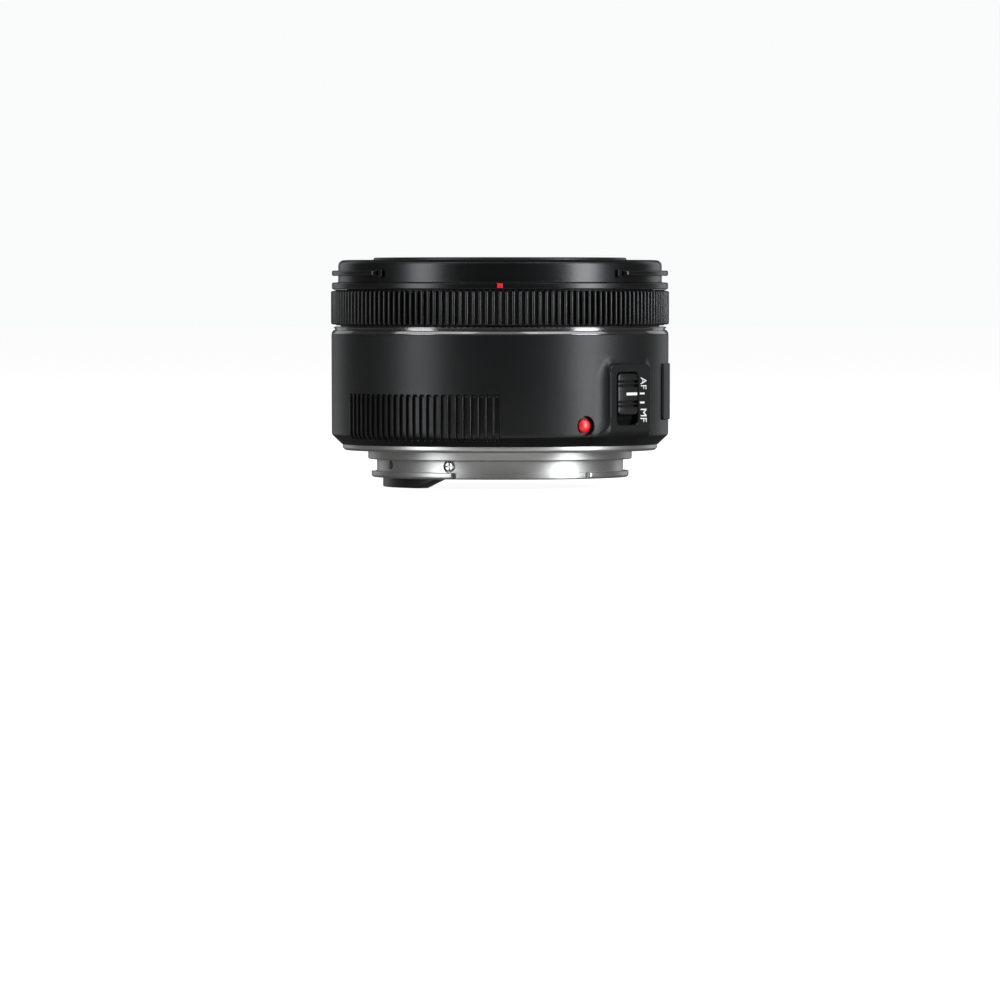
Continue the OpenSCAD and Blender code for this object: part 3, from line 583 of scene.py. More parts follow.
class LensSizes(bpy.types.PropertyGroup):
    focus_ribs: bpy.props.IntProperty(
        name="Focus ribs", description="Ribs round the focusing ring", default=160, min=60, max=220)
    rib_height: bpy.props.FloatProperty(
        name="Rib height", description="How far the focus ribs stand out", default=0.0009, unit="LENGTH")
    grip_pitch: bpy.props.FloatProperty(
        name="Grip pitch", description="Angle between grooves of the barrel's grip",
        default=math.radians(2.61),
        subtype="ANGLE")
    grip_depth: bpy.props.FloatProperty(
        name="Grip depth", description="Depth of the grip's grooves", default=0.0007, unit="LENGTH")
    panel_blend: bpy.props.FloatProperty(
        name="Panel blend", description="Width of the slope round the switch panel", default=0.0021,
        unit="LENGTH")
    thread_pitch: bpy.props.FloatProperty(
        name="Thread pitch", description="Pitch of the filter thread", default=0.00075, unit="LENGTH")
    contacts: bpy.props.IntProperty(
        name="Contacts", description="Gold contacts on the block", default=8, min=1, max=11)


class LensColours(bpy.types.PropertyGroup):
    barrel: bpy.props.FloatVectorProperty(
        name="Barrel", description="Colour of the moulded barrel", subtype="COLOR",
        default=(0.004, 0.0042, 0.0046),
        min=0, max=1)
    barrel_roughness: bpy.props.FloatProperty(
        name="Barrel roughness", description="How satin the barrel is", subtype="FACTOR", default=0.4,
        min=0, max=1)
    index_red: bpy.props.FloatVectorProperty(
        name="Index red", description="Colour of the mount and hood index", subtype="COLOR",
        default=(0.85, 0.012, 0.018), min=0, max=1)
    marking: bpy.props.FloatVectorProperty(
        name="Marking", description="Colour of the printed marks", subtype="COLOR", default=(0.9, 0.9, 0.89),
        min=0, max=1)


class StudioSettings(bpy.types.PropertyGroup):
    camera_distance: bpy.props.FloatProperty(
        name="Camera distance", description="From the lens axis to the camera", default=1.5, unit="LENGTH")
    camera_height: bpy.props.FloatProperty(
        name="Camera height", description="Camera above the mount's seating face", default=0.03328,
        unit="LENGTH")
    camera_pitch: bpy.props.FloatProperty(
        name="Camera pitch", description="How far the camera looks down", default=math.radians(1.665),
        subtype="ANGLE")
    focal_length: bpy.props.FloatProperty(
        name="Focal length", description="Camera lens in millimetres", default=263.7)
    brightness: bpy.props.FloatProperty(
        name="Brightness", description="Strength of all the soft lights", default=1.0, min=0, soft_max=3)


def sizes():
    return bpy.context.scene.lens_sizes


# ---------------------------------------------------------------- camera mount


class LENS_OT_bayonet_mount(bpy.types.Operator):
    """Turned metal mount with its register, three lugs, lock hole and screw seats"""

    bl_idname = "lens.bayonet_mount"
    bl_label = "Bayonet Mount"

    def execute(self, context):
        ring = turned("mount_shell", eased([
            (21.6, 1.2), (21.6, -1.2), (24, -1.2), (24, -5.53, 0.2), (25.2, -5.53, 0.1), (25.5, -5.3, 0.1),
            (25.5, -4.2, 0.05), (25.2, -4.2, 0.05), (25.2, -1.8, 0.15), (26.8, -1.8, 0.1), (27, -1.6, 0.1),
            (27, 0, 0.08), (31.65, 0, 0.2), (32.2, 0.45, 0.25), (32.2, 1.2, 0.05)], 0.06), 240)
        lug = eased([(24.3, -5.5), (26.05, -5.5, 0.3), (26.35, -5.1, 0.25), (26.35, -4.32, 0.14),
                     (26.25, -4.2, 0.05), (24.3, -4.2)], 0.05)
        lugs = [swept("lug", lug, a, b, 24.6, ends=0.9) for a, b in ((-87, -20.6), (43, 103), (160, 216))]
        carved(ring, lugs, "UNION")
        tools = [pushed("seat", round_box(-0.8, 0.8, -0.8, 0.8, 0.79, 8),
                        ((-1.6, 0.1), (-1.14, 0.1), (-1.05, 0), (2, 0)),
                        lambda u, d, w, a=a: tuple(Matrix.Rotation(math.radians(a), 3, "Z")
                                                   @ Vector((22.8 + u, w, d))))
                 for a in (10, 80, 150, 290)]
        tools.append(pushed("lock_hole", round_box(-1.7, 1.7, -1.7, 1.7, 1.69, 10),
                            ((-0.4, 0.3), (0.15, 0), (2, 0)), on_end(119.5, 29.6)))
        for phi in (-24, -103):
            tools.append(pushed("pocket", round_box(-1.25, 1.25, -1.25, 1.25, 1.24, 10),
                                ((24.75, -0.02), (24.8, 0), (25.05, 0), (25.35, 0.14), (26, 0.14)),
                                on_side(phi, -2.9)))
        gap = ((24.9, -6), (27, -6), (27, -4.13), (24.9, -4.13))
        tools.append(lofted("lug_gap", [[around(phi, r, z) for r, z in gap] for phi in (-22, -21.1, -20.2)]))
        tools.append(pushed("locating_hole", drop_outline(0.95, 0.8, -1.75),
                            ((23, 0), (25.0, 0), (25.3, 0.2), (26, 0.2)), on_side(LOCATING_PHI)))
        carved(ring, tools)
        done(ring, "barrel", finish("mount_metal"), ["bayonet_mount"])
        return {"FINISHED"}


def cross_head(name, r, height, shank, depth, size):
    """A screw with a domed head and a cross recess, standing on z = 0 with its head up."""
    body = turned(name, eased([(0, -shank, 0), (r * 0.52, -shank, 0.08), (r * 0.52, 0, 0.0), (r, 0, 0.04),
                               (r, height * 0.62, 0.12), (r * 0.72, height, 0.3), (0, height * 1.04, 0)],
                               0.05), 40)
    wide = size * 0.26
    outline = eased([(-size, -wide), (size, -wide), (size, wide), (-size, wide)], size * 0.1, 2)
    for turn in (0, 90):
        spin = Matrix.Rotation(math.radians(turn), 3, "Z")
        sections = [[tuple(spin @ Vector((x * k, y * k, z))) for x, y in outline]
                    for z, k in ((height - depth, 0.5), (height + 0.3, 1.1))]
        carved(body, [lofted("arm", sections)])
    return body


class LENS_OT_screws(bpy.types.Operator):
    """Cross-head screws of the mount and of the contact block"""

    bl_idname = "lens.screws"
    bl_label = "Screws"

    def execute(self, context):
        steel = finish("screw_steel")
        sets = []
        for phi in (100, 170, 240, 380):
            screw = cross_head("mount_screw", 1.12, 0.72, 3.8, 0.95, 0.72)
            screw.data.transform(Matrix.Translation((0.0228, 0, -0.0012)) @ Matrix.Rotation(math.pi, 4, "X"))
            sets.append(repeated(screw, 1, phi, 0, steel))
        done(merged("mount_screw_set", sets), "barrel", steel, ["mount_screws"])
        screw = cross_head("contact_screw", 1.12, 0.46, 2.4, 1.4, 0.8)
        screw.data.transform(Matrix.Translation((0.02476, 0, -0.0029)) @ Matrix.Rotation(math.pi / 2, 4, "Y"))
        done(repeated(screw, 2, -24, -79, steel), "barrel", steel, ["contact_screws"])
        return {"FINISHED"}


class LENS_OT_contacts(bpy.types.Operator):
    """Contact block with its ramp, and the gold contacts set in it"""

    bl_idname = "lens.contacts"
    bl_label = "Contacts"

    def execute(self, context):
        sections = []
        stations = [-107, -106.2, -104, -98, -95.05, -94.95, -94.3] + [-93 + i * 2 for i in range(25)] + [
            -44 + i * 1.05 for i in range(13)] + [-31.3, -31.2, -28, -24, -21, -20.3, -20]
        for phi in stations:
            ear = phi < -95 or phi > -31.25
            low = -4.55 if ear else FOOT_Z + 0.02 + max(0.0, (phi + 44.4) / 13) * 1.9
            if -95 < phi < -94:
                low = FOOT_Z + 0.4
            inner, outer = (22, 23.9) if ear else (20.6, 23.95)
            if phi in (-107, -20):
                inner, outer, low = 22.4, 23.5, -4.2
            sections.append([around(phi, r, z) for r, z in eased(
                [(inner, -1.3), (inner, low, 0.3), (outer, low, 0.3), (outer, -1.3)], 0.08, 3)])
        block = lofted("contact_housing", sections)
        pads = [pushed("pad_seat", round_box(-1.22, 1.22, -0.82, 0.82, 0.38),
                       ((FOOT_Z - 0.3, 0.12), (FOOT_Z + 0.02, 0.12), (FOOT_Z + 0.12, 0), (FOOT_Z + 0.5, 0)),
                       on_end(CONTACT_PHI + CONTACT_PITCH * k, CONTACT_R))
                for k in range(sizes().contacts)]
        carved(block, pads)
        peg = pushed("locating_peg", drop_outline(0.9, 0.76, -1.82), ((23.0, 0), (24.95, 0)),
                     on_side(LOCATING_PHI))
        block = merged("contact_housing", [block, peg])
        done(block, "barrel", finish("contact_plastic"), ["contact_block"])
        gold = finish("contact_gold")
        pad = pushed("contact_pad", round_box(-1.14, 1.14, -0.74, 0.74, 0.32),
                     ((FOOT_Z + 0.03, -0.14), (FOOT_Z + 0.08, -0.03), (FOOT_Z + 0.16, 0), (FOOT_Z + 0.9, 0)),
                     lambda u, d, w: (CONTACT_R + u, w, d))
        done(repeated(pad, sizes().contacts, CONTACT_PHI, CONTACT_PITCH, gold), "barrel",
             gold, ["contact_pins"])
        return {"FINISHED"}


class LENS_OT_rear(bpy.types.Operator):
    """Rear shield with its light baffles, and the cell of the rear elements"""

    bl_idname = "lens.rear"
    bl_label = "Rear Shield and Cell"

    def execute(self, context):
        outline = [(14.2, -2.9, 0.1), (14.2, -3.5, 0.12), (14.9, -3.5, 0.12)]
        for k in range(5):  # baffle steps up the slope
            r, z = 15.1 + k * 0.84, -3.42 + k * 0.44
            outline += [(r, z, 0.06), (r + 0.42, z, 0.06)]
        outline += [(19.3, -1.2, 0.1), (20.3, -1.2, 0.05), (20.4, -1.0, 0.05), (21.5, -1.0, 0.05),
                    (21.5, 0.4, 0.05), (20.4, 0.4, 0.05), (18.6, -0.5, 0.1)]
        shield = turned("rear_baffle", eased(outline, 0.05, 2))
        gate = lofted("gate", [[around(phi, r, z) for r, z in ((20.9, -2), (22, -2), (22, 1), (20.9, 1))]
                               for phi in (-72, -65, -58, -52)])
        carved(shield, [gate])
        done(shield, "barrel", finish("shield_black"), ["rear_shield"])
        cell = turned("rear_cell_barrel", eased([
            (10.25, 8.8), (20.6, 8.8), (20.6, 8.17), (13.2, 8.17), (13.2, -3.5, 0.2), (12.8, -3.9, 0.15),
            (11.9, -3.9, 0.15), (11.25, -3.4, 0.1), (11.25, -1.3), (10.35, -1.3), (9.7, -0.5), (9.7, 2),
            (10.25, 2)], 0.05))
        done(cell, "lens_unit", finish("cell_black"), ["rear_cell"])
        return {"FINISHED"}


# ---------------------------------------------------------------- outer shell


def panel_gap(u, z):
    """Distance from the switch panel's outline, negative on the panel.

    One side sweeps out in an arc at its foot.
    """
    half_u, z0, z1, corner, sweep = 6.33, -2.0, 17.75, 1.25, 4.1
    cu, cz = -half_u - sweep, 3.3 + sweep
    if u < 0 and z < cz:
        return sweep - math.hypot(u - cu, z - cz) if u > cu else z - (cz - sweep)
    x = abs(u) - half_u + corner
    y = abs(z - (z0 + z1) / 2) - (z1 - z0) / 2 + corner
    return math.hypot(max(x, 0), max(y, 0)) + min(max(x, y), 0) - corner


def panel_share(u, z, blend):
    """1 on the switch panel, falling to 0 round it through a crisp edge and a wide hollow foot."""
    gap = panel_gap(u, z)
    lean = min(1.0, max(0.0, (-u - 2) / 4.3)) * min(1.0, max(0.0, (17.6 - z) / 2.5))
    edge = min(1.0, max(0.0, (gap + 0.16) / 0.36))
    foot = min(1.0, max(0.0, gap / (blend * (1 + 0.75 * lean))))
    crisp = 0.5 - 0.24 * lean
    return (1 - edge * edge * (3 - 2 * edge)) * crisp + (1 - crisp) * (1 - foot) ** 2.2


def barrel_radius(phi, r, z, blend):
    """Radius of the barrel's skin, with the switch panel raised out of it."""
    away = (phi - SWITCH_PHI + 180) % 360 - 180
    if abs(away) > 20 or not 1.5 < z < 21.5:
        return r
    u = PANEL_D * math.tan(math.radians(away))
    flat = PANEL_D / math.cos(math.radians(away))
    flat = min(flat, 35.53 - 0.2 * max(0.0, abs(u) - 6.4))
    if z < 4.8:  # the panel rolls in to the chamfer below it
        flat -= 0.13 * (4.8 - z) ** 2
    return max(r, r + (flat - r) * panel_share(u, z, blend))


class LENS_OT_main_barrel(bpy.types.Operator):
    """Main barrel: one moulded shell with the switch panel, two grips and the index seat"""

    bl_idname = "lens.main_barrel"
    bl_label = "Main Barrel"

    def execute(self, context):
        blend, depth = sizes().panel_blend / MM, sizes().grip_depth / MM
        outer = eased([(31.6, 1.2, 0), (32.35, 1.2, 0.12), (34.3, 3.05, 0.2), (34.36, 3.15, 0)], 0.1, 6,
                      False)
        heights = [3.3 + 0.15 * k for k in range(33)]
        heights += [8.4 + 0.4 * k for k in range(21)]
        heights += [16.7 + 0.16 * k for k in range(26)]
        heights += [21.6, 22.4, 23.1]
        outer += [(34.45 + 0.0027 * (z - 4.6) - 0.16 * max(0.0, 3.9 - z) ** 2, z) for z in heights]
        outer += eased([(34.5, 23.4, 0), (34.5, 23.7, 0.16), (34.2, 23.7, 0)], 0.1, 4, False)
        inner = eased([(32.9, 23.7), (32.9, 2.9), (31.4, 2.9), (31.4, 1.2)], 0.05, 1)
        stations = []
        phi = SWITCH_PHI - 20
        while phi < SWITCH_PHI + 340 - 1e-6:
            stations.append(phi)
            away = abs((phi - SWITCH_PHI + 180) % 360 - 180)
            phi += 0.16 if 9.4 < away < 11.8 else 0.25 if away < 20 else 1.0
        sections = [[around(phi, barrel_radius(phi, r, z, blend), z) for r, z in outer]
                    + [around(phi, r, z) for r, z in inner] for phi in stations]
        shell = lofted("barrel_shell", sections, ring=True)

        def skin(z):
            """Radius of the barrel on its lower chamfer, on the rounding above it and on the wall."""
            if z < 2.95:
                return 32.35 + (z - 1.2) * 1.058
            return 34.2 + (z - 2.95) * 0.3 if z < 3.75 else 34.44

        def groove(z):
            """A grip groove at one height: rounded lips and a flat floor, with both ends rounded off."""
            t = max(0.015, min(1.0, (z - 2.3) / 0.9, (11.75 - z) / 0.7))
            ease = math.sqrt(1 - (1 - t) ** 2)
            w, top, floor = 0.05 + 0.5 * ease, skin(z), skin(z) - depth * ease ** 0.8
            deep = top - floor
            half = [(top + 1.2, w + 0.4), (top + 0.1, w + 0.2), (top + 0.01, w + 0.13),
                    (top - 0.05, w + 0.05),
                    (top - 0.2 * deep / depth, w), (floor + 0.1 * deep, w - 0.06 * ease),
                    (floor, w - 0.14 * ease)]
            return [(r, -y, z) for r, y in half] + [(r, y, z) for r, y in reversed(half)]

        levels = [2.3, 2.36, 2.5, 2.7, 2.8, 2.95, 3.2, 3.6, 4.2, 7.3, 10.6, 11.05, 11.25, 11.45, 11.6,
                  11.7, 11.75]
        tool = lofted("groove", [groove(z) for z in levels])
        spare = tool.copy()
        spare.data = tool.data.copy()
        context.scene.collection.objects.link(spare)
        pitch = math.degrees(sizes().grip_pitch)
        grooves = [repeated(tool, int(61 / pitch) + 1, -61, pitch),
                   repeated(spare, int(106 / pitch) + 1, 135, pitch)]
        slot = pushed("slot", round_box(-4.27, 2.41, 5.5, 16.1, 1.0), ((33.8, 0), (34.78, 0), (35.1, 0.3)),
                      on_panel)
        pocket = pushed("pocket", round_box(-5.3, 3.4, 4.4, 17.2, 0.5), ((31, 0), (33.9, 0)), on_panel)
        seat = pushed("index_seat", round_box(-1.95, 1.95, -1.95, 1.95, 1.94, 12),
                      ((33.3, -0.1), (33.4, 0), (34.3, 0), (34.6, 0.2), (36, 0.2)),
                      on_side(INDEX_PHI, 5.4))
        carved(shell, [*grooves, slot, seat])
        carved(shell, [pocket])
        done(shell, "barrel", finish("barrel_plastic"), ["main_barrel"], 28)
        return {"FINISHED"}


def wrapped(name, outline, levels, phi, z0=0.0):
    """A plate bent round the barrel: its outline is in millimetres along the barrel and up it."""
    def place(u, r, z):
        return around(phi + math.degrees(u / SKIN_R), r, z + z0)
    return pushed(name, outline, levels, place)


class LENS_OT_plates_and_marks(bpy.types.Operator):
    """Blank name plate, red mount index and hood index, and the trim ring"""

    bl_idname = "lens.plates_and_marks"
    bl_label = "Plates, Marks and Trim"

    def execute(self, context):
        half, corner = math.radians(28) * SKIN_R, 0.8
        columns = 56
        sections = []
        for k in range(columns + 1):
            u = -half + 2 * half * k / columns
            cut = max(0.0, corner - (half - abs(u)))
            inset = corner - math.sqrt(max(0.0, corner ** 2 - cut ** 2))
            lift = min(1.0, (half - abs(u)) / 0.3)
            top = 34.6 + 0.19 * math.sqrt(max(0.0, 1 - (1 - lift) ** 2))
            sections.append([around(100 + math.degrees(u / SKIN_R), r, z) for r, z in eased(
                [(34.46, 6.3 + inset), (34.46, 17.7 - inset), (top, 17.7 - inset, 0.18),
                 (top, 6.3 + inset, 0.18)], 0.02, 4)])
        done(lofted("name_plate_blank", sections), "barrel", finish("plate_dark"),
             ["name_plate"])
        red = finish("index_red")
        bead = [(0, 0), (1.42, 0)] + [(1.42 * math.cos(math.radians(a)), 0.28
                                       + 0.62 * math.sin(math.radians(a)))
                                     for a in range(0, 91, 6)]
        bead = turned("index_bead", bead, 48)
        bead.data.transform(Matrix.Rotation(math.radians(INDEX_PHI - 90), 4, "Z")
                            @ Matrix.Translation((0.03335, 0, 0.0054))
                            @ Matrix.Rotation(math.pi / 2, 4, "Y"))
        done(bead, "barrel", red, ["mount_index_dot"])
        patch = wrapped("hood_index_patch", round_box(-0.55, 0.55, -0.45, 0.45, 0.1, 3),
                        ((34.12, 0), (34.38, 0), (34.41, -0.04)), 0, 33.58)
        done(patch, "barrel", red, ["hood_index"])
        trim = turned("trim_band", eased([
            (32.9, 23.7), (34.3, 23.7, 0.05), (34.5, 23.74, 0.06), (34.45, 23.9, 0.1), (34.16, 24.46, 0.9),
            (33.8, 24.52, 0.08),
            (33.8, 24.84, 0.06), (34.08, 24.88, 0.06), (34.06, 25.06, 0.06), (33.8, 25.12, 0.05),
            (33.8, 25.22), (32.9, 25.22)], 0.04, 5), 240)
        done(trim, "barrel", finish("trim_gloss"), ["trim_ring"], 50)
        return {"FINISHED"}


class LENS_OT_focus_ring(bpy.types.Operator):
    """Focusing ring: a band and its ribs"""

    bl_idname = "lens.focus_ring"
    bl_label = "Focusing Ring"

    def execute(self, context):
        plastic = finish("focus_ring_plastic")
        root = RIB_R - sizes().rib_height / MM
        band = turned("focus_band", eased([
            (31, 25.45), (root - 0.2, 25.45, 0.1), (root, 25.75, 0.15), (root, 32.6, 0.1),
            (34.0, 32.68, 0.1), (34.0, 32.75, 0.02), (33, 32.75, 0.02),
            (33, 32.25, 0.05), (31, 32.25)], 0.06), 240)
        done(band, "focus_ring", plastic, ["focus_ring"])
        pitch = 2 * math.pi * RIB_R / sizes().focus_ribs
        half = [(root - 0.12, 0.25 * pitch), (RIB_R - 0.3, 0.25 * pitch), (RIB_R - 0.1, 0.19 * pitch),
                (RIB_R - 0.02, 0.1 * pitch)]
        across = [(x, -y) for x, y in half] + [(RIB_R, 0)] + [(x, y) for x, y in reversed(half)]
        sections = []
        for z, drop in ((25.62, 0.5), (25.68, 0.22), (25.8, 0.06), (25.95, 0.0), (32.2, 0.0),
                        (32.36, 0.06), (32.46, 0.22), (32.5, 0.5)):
            sections.append([(x - drop * (x - root + 0.12) / (RIB_R - root + 0.12), y * (1 - 0.25 * drop),
                              z) for x, y in across])
        rib = lofted("focus_ribs", sections)
        done(repeated(rib, sizes().focus_ribs, 90, 360 / sizes().focus_ribs, plastic), "focus_ring",
             plastic, [], 35)
        return {"FINISHED"}


class LENS_OT_front_cover(bpy.types.Operator):
    """Front cover with the hood bayonet, and the felt seal inside it"""

    bl_idname = "lens.front_cover"
    bl_label = "Front Cover"

    def execute(self, context):
        cover = turned("cover_shell", eased([
            (31.05, 32.3), (31.25, 32.3), (31.25, 32.78), (34.15, 32.78, 0.1), (34.4, 33.0, 0.15),
            (34.4, 34.0, 0.12), (34.2, 34.2, 0.1), (33.12, 34.27, 0.12),
            (33.1, 37.6, 0.0), (33.02, 38.2, 0.6), (32.35, 38.74, 0.6), (31.6, 38.8, 0.3),
            (26.9, 38.8, 0.3), (26.3, 38.5, 0.2),
            (26.3, 37.9), (27, 37.9), (27, 36.9), (26.3, 36.9), (26.3, 36.2), (28.1, 36.2), (28.1, 34.4),
            (29.3, 34.4), (29.3, 36.2), (31.05, 36.2)], 0.05, 4), 240)
        lug = eased([(32.7, 35.57), (34.2, 35.57, 0.12), (34.4, 35.75, 0.12), (34.4, 36.45, 0.12),
                     (34.2, 36.65, 0.12), (32.7, 36.65)],
                    0.05)
        stop = eased([(32.7, 35.3), (34.0, 35.3, 0.2), (34.1, 35.6, 0.2), (34.1, 36.5, 0.2),
                      (34.0, 36.75, 0.2), (32.7, 36.75)], 0.05)
        parts = []
        for side in (-1, 1):
            ends = sorted((side * 47.5, side * 132.5))
            parts.append(swept("hood_lug", lug, *ends, 32.95, ends=1.6))
            parts.append(swept("hood_stop", stop, side * 45.6 - 0.8, side * 45.6 + 0.8, 32.95, step=0.4,
                               ends=0.35))
        carved(cover, parts, "UNION")
        carved(cover, [lofted("index_seat",
                              [[around(phi, r, z) for r,
                                z in ((34.1, 33.12), (35, 33.12), (35, 34.04), (34.1, 34.04))]
                                             for phi in (-0.96, 0, 0.96)])])
        done(cover, "barrel", finish("cover_plastic"), ["front_cover"])
        seal = turned("felt_seal", eased([(25.97, 37.0, 0.1), (26.2, 36.92), (27, 36.92), (27, 37.88),
                                          (26.2, 37.88), (25.97, 37.8, 0.1)],
                                         0.05))
        done(seal, "barrel", finish("seal_felt"), ["dust_seal"])
        return {"FINISHED"}


class LENS_OT_front_barrel(bpy.types.Operator):
    """Sliding front barrel with its filter thread, and the stepped ring round the glass"""

    bl_idname = "lens.front_barrel"
    bl_label = "Front Barrel"

    def execute(self, context):
        plastic = finish("front_plastic")
        rim = turned("front_rim", eased([
            (24.1, 26), (25.9, 26, 0.1), (25.9, TOP_Z, 0.45), (24.95, TOP_Z, 0.25),
            (24.5, TOP_Z - 0.45, 0.1), (24.5, 35.6, 0.05),
            (24.1, 35.6, 0.05), (24.1, 31.2), (20.8, 31.2), (20.8, 29.8), (24.1, 29.8)], 0.05, 4), 240)
        done(rim, "lens_unit", plastic, ["front_barrel"])
        pitch, turns, per_turn = sizes().thread_pitch / MM, 3.7, 144
        sections = []
        for k in range(int(turns * per_turn) + 1):
            t = k / per_turn
            full = min(1.0, t * 4, (turns - t) * 4)
            deep = 0.02 + 0.38 * full
            z = 35.85 + pitch * t
            sections.append([around(360 * t, r, z + h) for r, h in (
                (24.56, -0.31), (24.5, -0.29), (24.5 - deep, -0.05), (24.5 - deep, 0.05), (24.5, 0.29),
                (24.56, 0.31))])
        done(lofted("filter_thread", sections), "lens_unit", plastic)
        outline, steps = [(24.05, 31.25), (24.05, 34.9, 0.1), (23.75, 34.9, 0.03), (23.7, 34.82, 0.03),
                          (23.5, 34.82, 0.03), (23.45, 34.9, 0.03), (20.5, 34.9, 0.12)], 13
        for k in range(steps):
            r0, z0 = 20.3 - 4.6 * k / steps, 34.75 - 5.3 * k / steps
            r1, z1 = 20.3 - 4.6 * (k + 1) / steps, 34.75 - 5.3 * (k + 1) / steps
            outline += [(r0, z0, 0.03), (r0 - 0.02, z1 + 0.1, 0.04), (r1 + 0.04, z1 + 0.04, 0.03)]
        outline += [(15.6, 29.4, 0.05), (15.6, 29.1), (16.4, 29.1), (20.6, 34.2), (23.3, 34.2), (23.3, 31.25)]
        ring = turned("front_name_ring", eased(outline, 0.05, 2), 240)
        done(ring, "lens_unit", plastic, ["name_ring"], 40)
        return {"FINISHED"}


GLASS = {  # front surface and rear surface: vertex height, curvature and clear radius; then the edge radius
    "element_1": ((28.4, 34, 14.6), (24, 150, 14.2), 14.98),
    "element_2": ((23.85, 20.5, 12.9), (19.95, 42, 12.9), 13.28),
    "element_3": ((18.15, 60, 11.2), (16.85, 13.2, 10.2), 11.88),
    "element_4": ((5.4, -14, 9), (4.2, 80, 10), 10.18),
    "element_5": ((4.19, 80, 10), (-0.6, -19, 10), 10.18),
    "element_6": ((-0.75, 90, 10.9), (-3.95, -38, 10.9), 11.18),
}


class LENS_OT_glass(bpy.types.Operator):
    """Ground glass elements with their coatings"""

    bl_idname = "lens.glass"
    bl_label = "Glass Elements"

    def execute(self, context):
        for node, (front, rear, edge) in GLASS.items():
            n = 28
            outline = [(front[2] * k / n, arc_z(front[0], front[1], front[2] * k / n)) for k in range(n + 1)]
            outline += [(edge, outline[-1][1] - 0.05), (edge, arc_z(*rear) + 0.05)]
            outline += [(rear[2] * k / n, arc_z(rear[0], rear[1], rear[2] * k / n)) for k in range(n, -1, -1)]
            slot = "glass_front" if node in ("element_1", "element_2", "element_3") else "glass_rear"
            done(turned(node + "_glass", outline, 128), "lens_unit", finish(slot), [node], 40)
        return {"FINISHED"}


class LENS_OT_mode_switch(bpy.types.Operator):
    """Switch knob with its grooves and bar, and the marks printed beside it"""

    bl_idname = "lens.mode_switch"
    bl_label = "Mode Switch"

    def execute(self, context):
        plastic, ink = finish("knob_plastic"), finish("print_white")
        knob = pushed("knob_cap", round_box(-4.0, 2.14, 7.5, 15.88, 0.95),
                      ((33.25, 0), (34.7, 0), (34.9, -0.04), (35.0, -0.14), (35.05, -0.3)), on_panel)
        flange = pushed("knob_flange", round_box(-4.9, 3.0, 6.4, 16.8, 0.4), ((33.14, 0), (33.45, 0)),
                        on_panel)
        cuts = [pushed("finger_groove", round_box(-3.86, 2.0, z - 0.25, z + 0.25, 0.12, 3),
                       ((34.3, 0), (34.94, 0), (35.0, 0.02), (35.2, 0.1)),
                       on_panel) for z in (14.24, 13.41, 10.14, 9.34)]
        carved(knob, cuts)
        done(knob, "mode_switch", plastic, ["switch_knob"])
        # The slide under the knob takes the darker finish: painted shade in the switch slot
        done(flange, "mode_switch", finish("slide_black"))
        bar = pushed("knob_bar", round_box(-1.45, 1.9, 11.45, 12.03, 0.08, 3),
                     ((34.9, 0), (35.06, 0), (35.075, -0.02)), on_panel)
        done(bar, "mode_switch", ink)
        marks = [pushed("tick", round_box(2.85, 4.3, z - 0.19, z + 0.19, 0.05, 2),
                        ((34.85, 0), (34.965, 0)), on_panel)
                 for z in (11.8, 9.98)]
        for letter, z, size in (("AF", 13.85, 2.6), ("MF", 7.4, 2.8)):
            curve = bpy.data.curves.new("letter", "FONT")
            curve.body, curve.size, curve.extrude = letter, size * MM, 0.05 * MM
            curve.align_x, curve.align_y = "CENTER", "CENTER"
            text = bpy.data.objects.new("letter", curve)
            context.scene.collection.objects.link(text)
            graph = context.evaluated_depsgraph_get()
            graph.update()
            mesh = bpy.data.meshes.new_from_object(text.evaluated_get(graph))
            bpy.data.objects.remove(text)
            a = math.radians(SWITCH_PHI - 90)
            out = Vector((math.cos(a), math.sin(a), 0))
            along = Vector((-math.sin(a), math.cos(a), 0))
            up = Vector((0, 0, 1))
            turn = Matrix((-up * 0.84, along, out)).transposed()  # the letters lie on their side
            mesh.transform(Matrix.Translation(Vector(on_panel(3.9, 34.915, z)) * MM) @ turn.to_4x4())
            marks.append(bpy.data.objects.new("letter", mesh))
            context.scene.collection.objects.link(marks[-1])
        done(merged("panel_marks", marks), "barrel", ink)
        return {"FINISHED"}


class LENS_OT_inner_works(bpy.types.Operator):
    """Finishes of the frame, focus drive, electronics and diaphragm inside the lens"""

    bl_idname = "lens.inner_works"
    bl_label = "Inner Works"

    def execute(self, context):
        slots = {row["node"]: row["material_slot"] for row in frame["record"]["subparts"]}
        for node, obj in NODES.items():
            if not obj.hide_render:
                obj.data.materials.clear()
                # The switch plate takes the darker slide finish instead of its own: painted shade on the
                # floor of the switch slot
                obj.data.materials.append(finish("slide_black" if node == "switch_plate" else slots[node]))
                obj.data.shade_smooth()
        return {"FINISHED"}


# ---------------------------------------------------------------- studio


def area_light(name, width, deep, watts):
    """A rectangular soft light that the camera doesn't see."""
    data = bpy.data.lights.new(name, "AREA")
    data.shape, data.size, data.size_y = "RECTANGLE", width, deep
    data.energy = watts * bpy.context.scene.lens_studio.brightness
    light = bpy.data.objects.new(name, data)
    light.visible_camera = False
    bpy.context.scene.collection.objects.link(light)
    return light


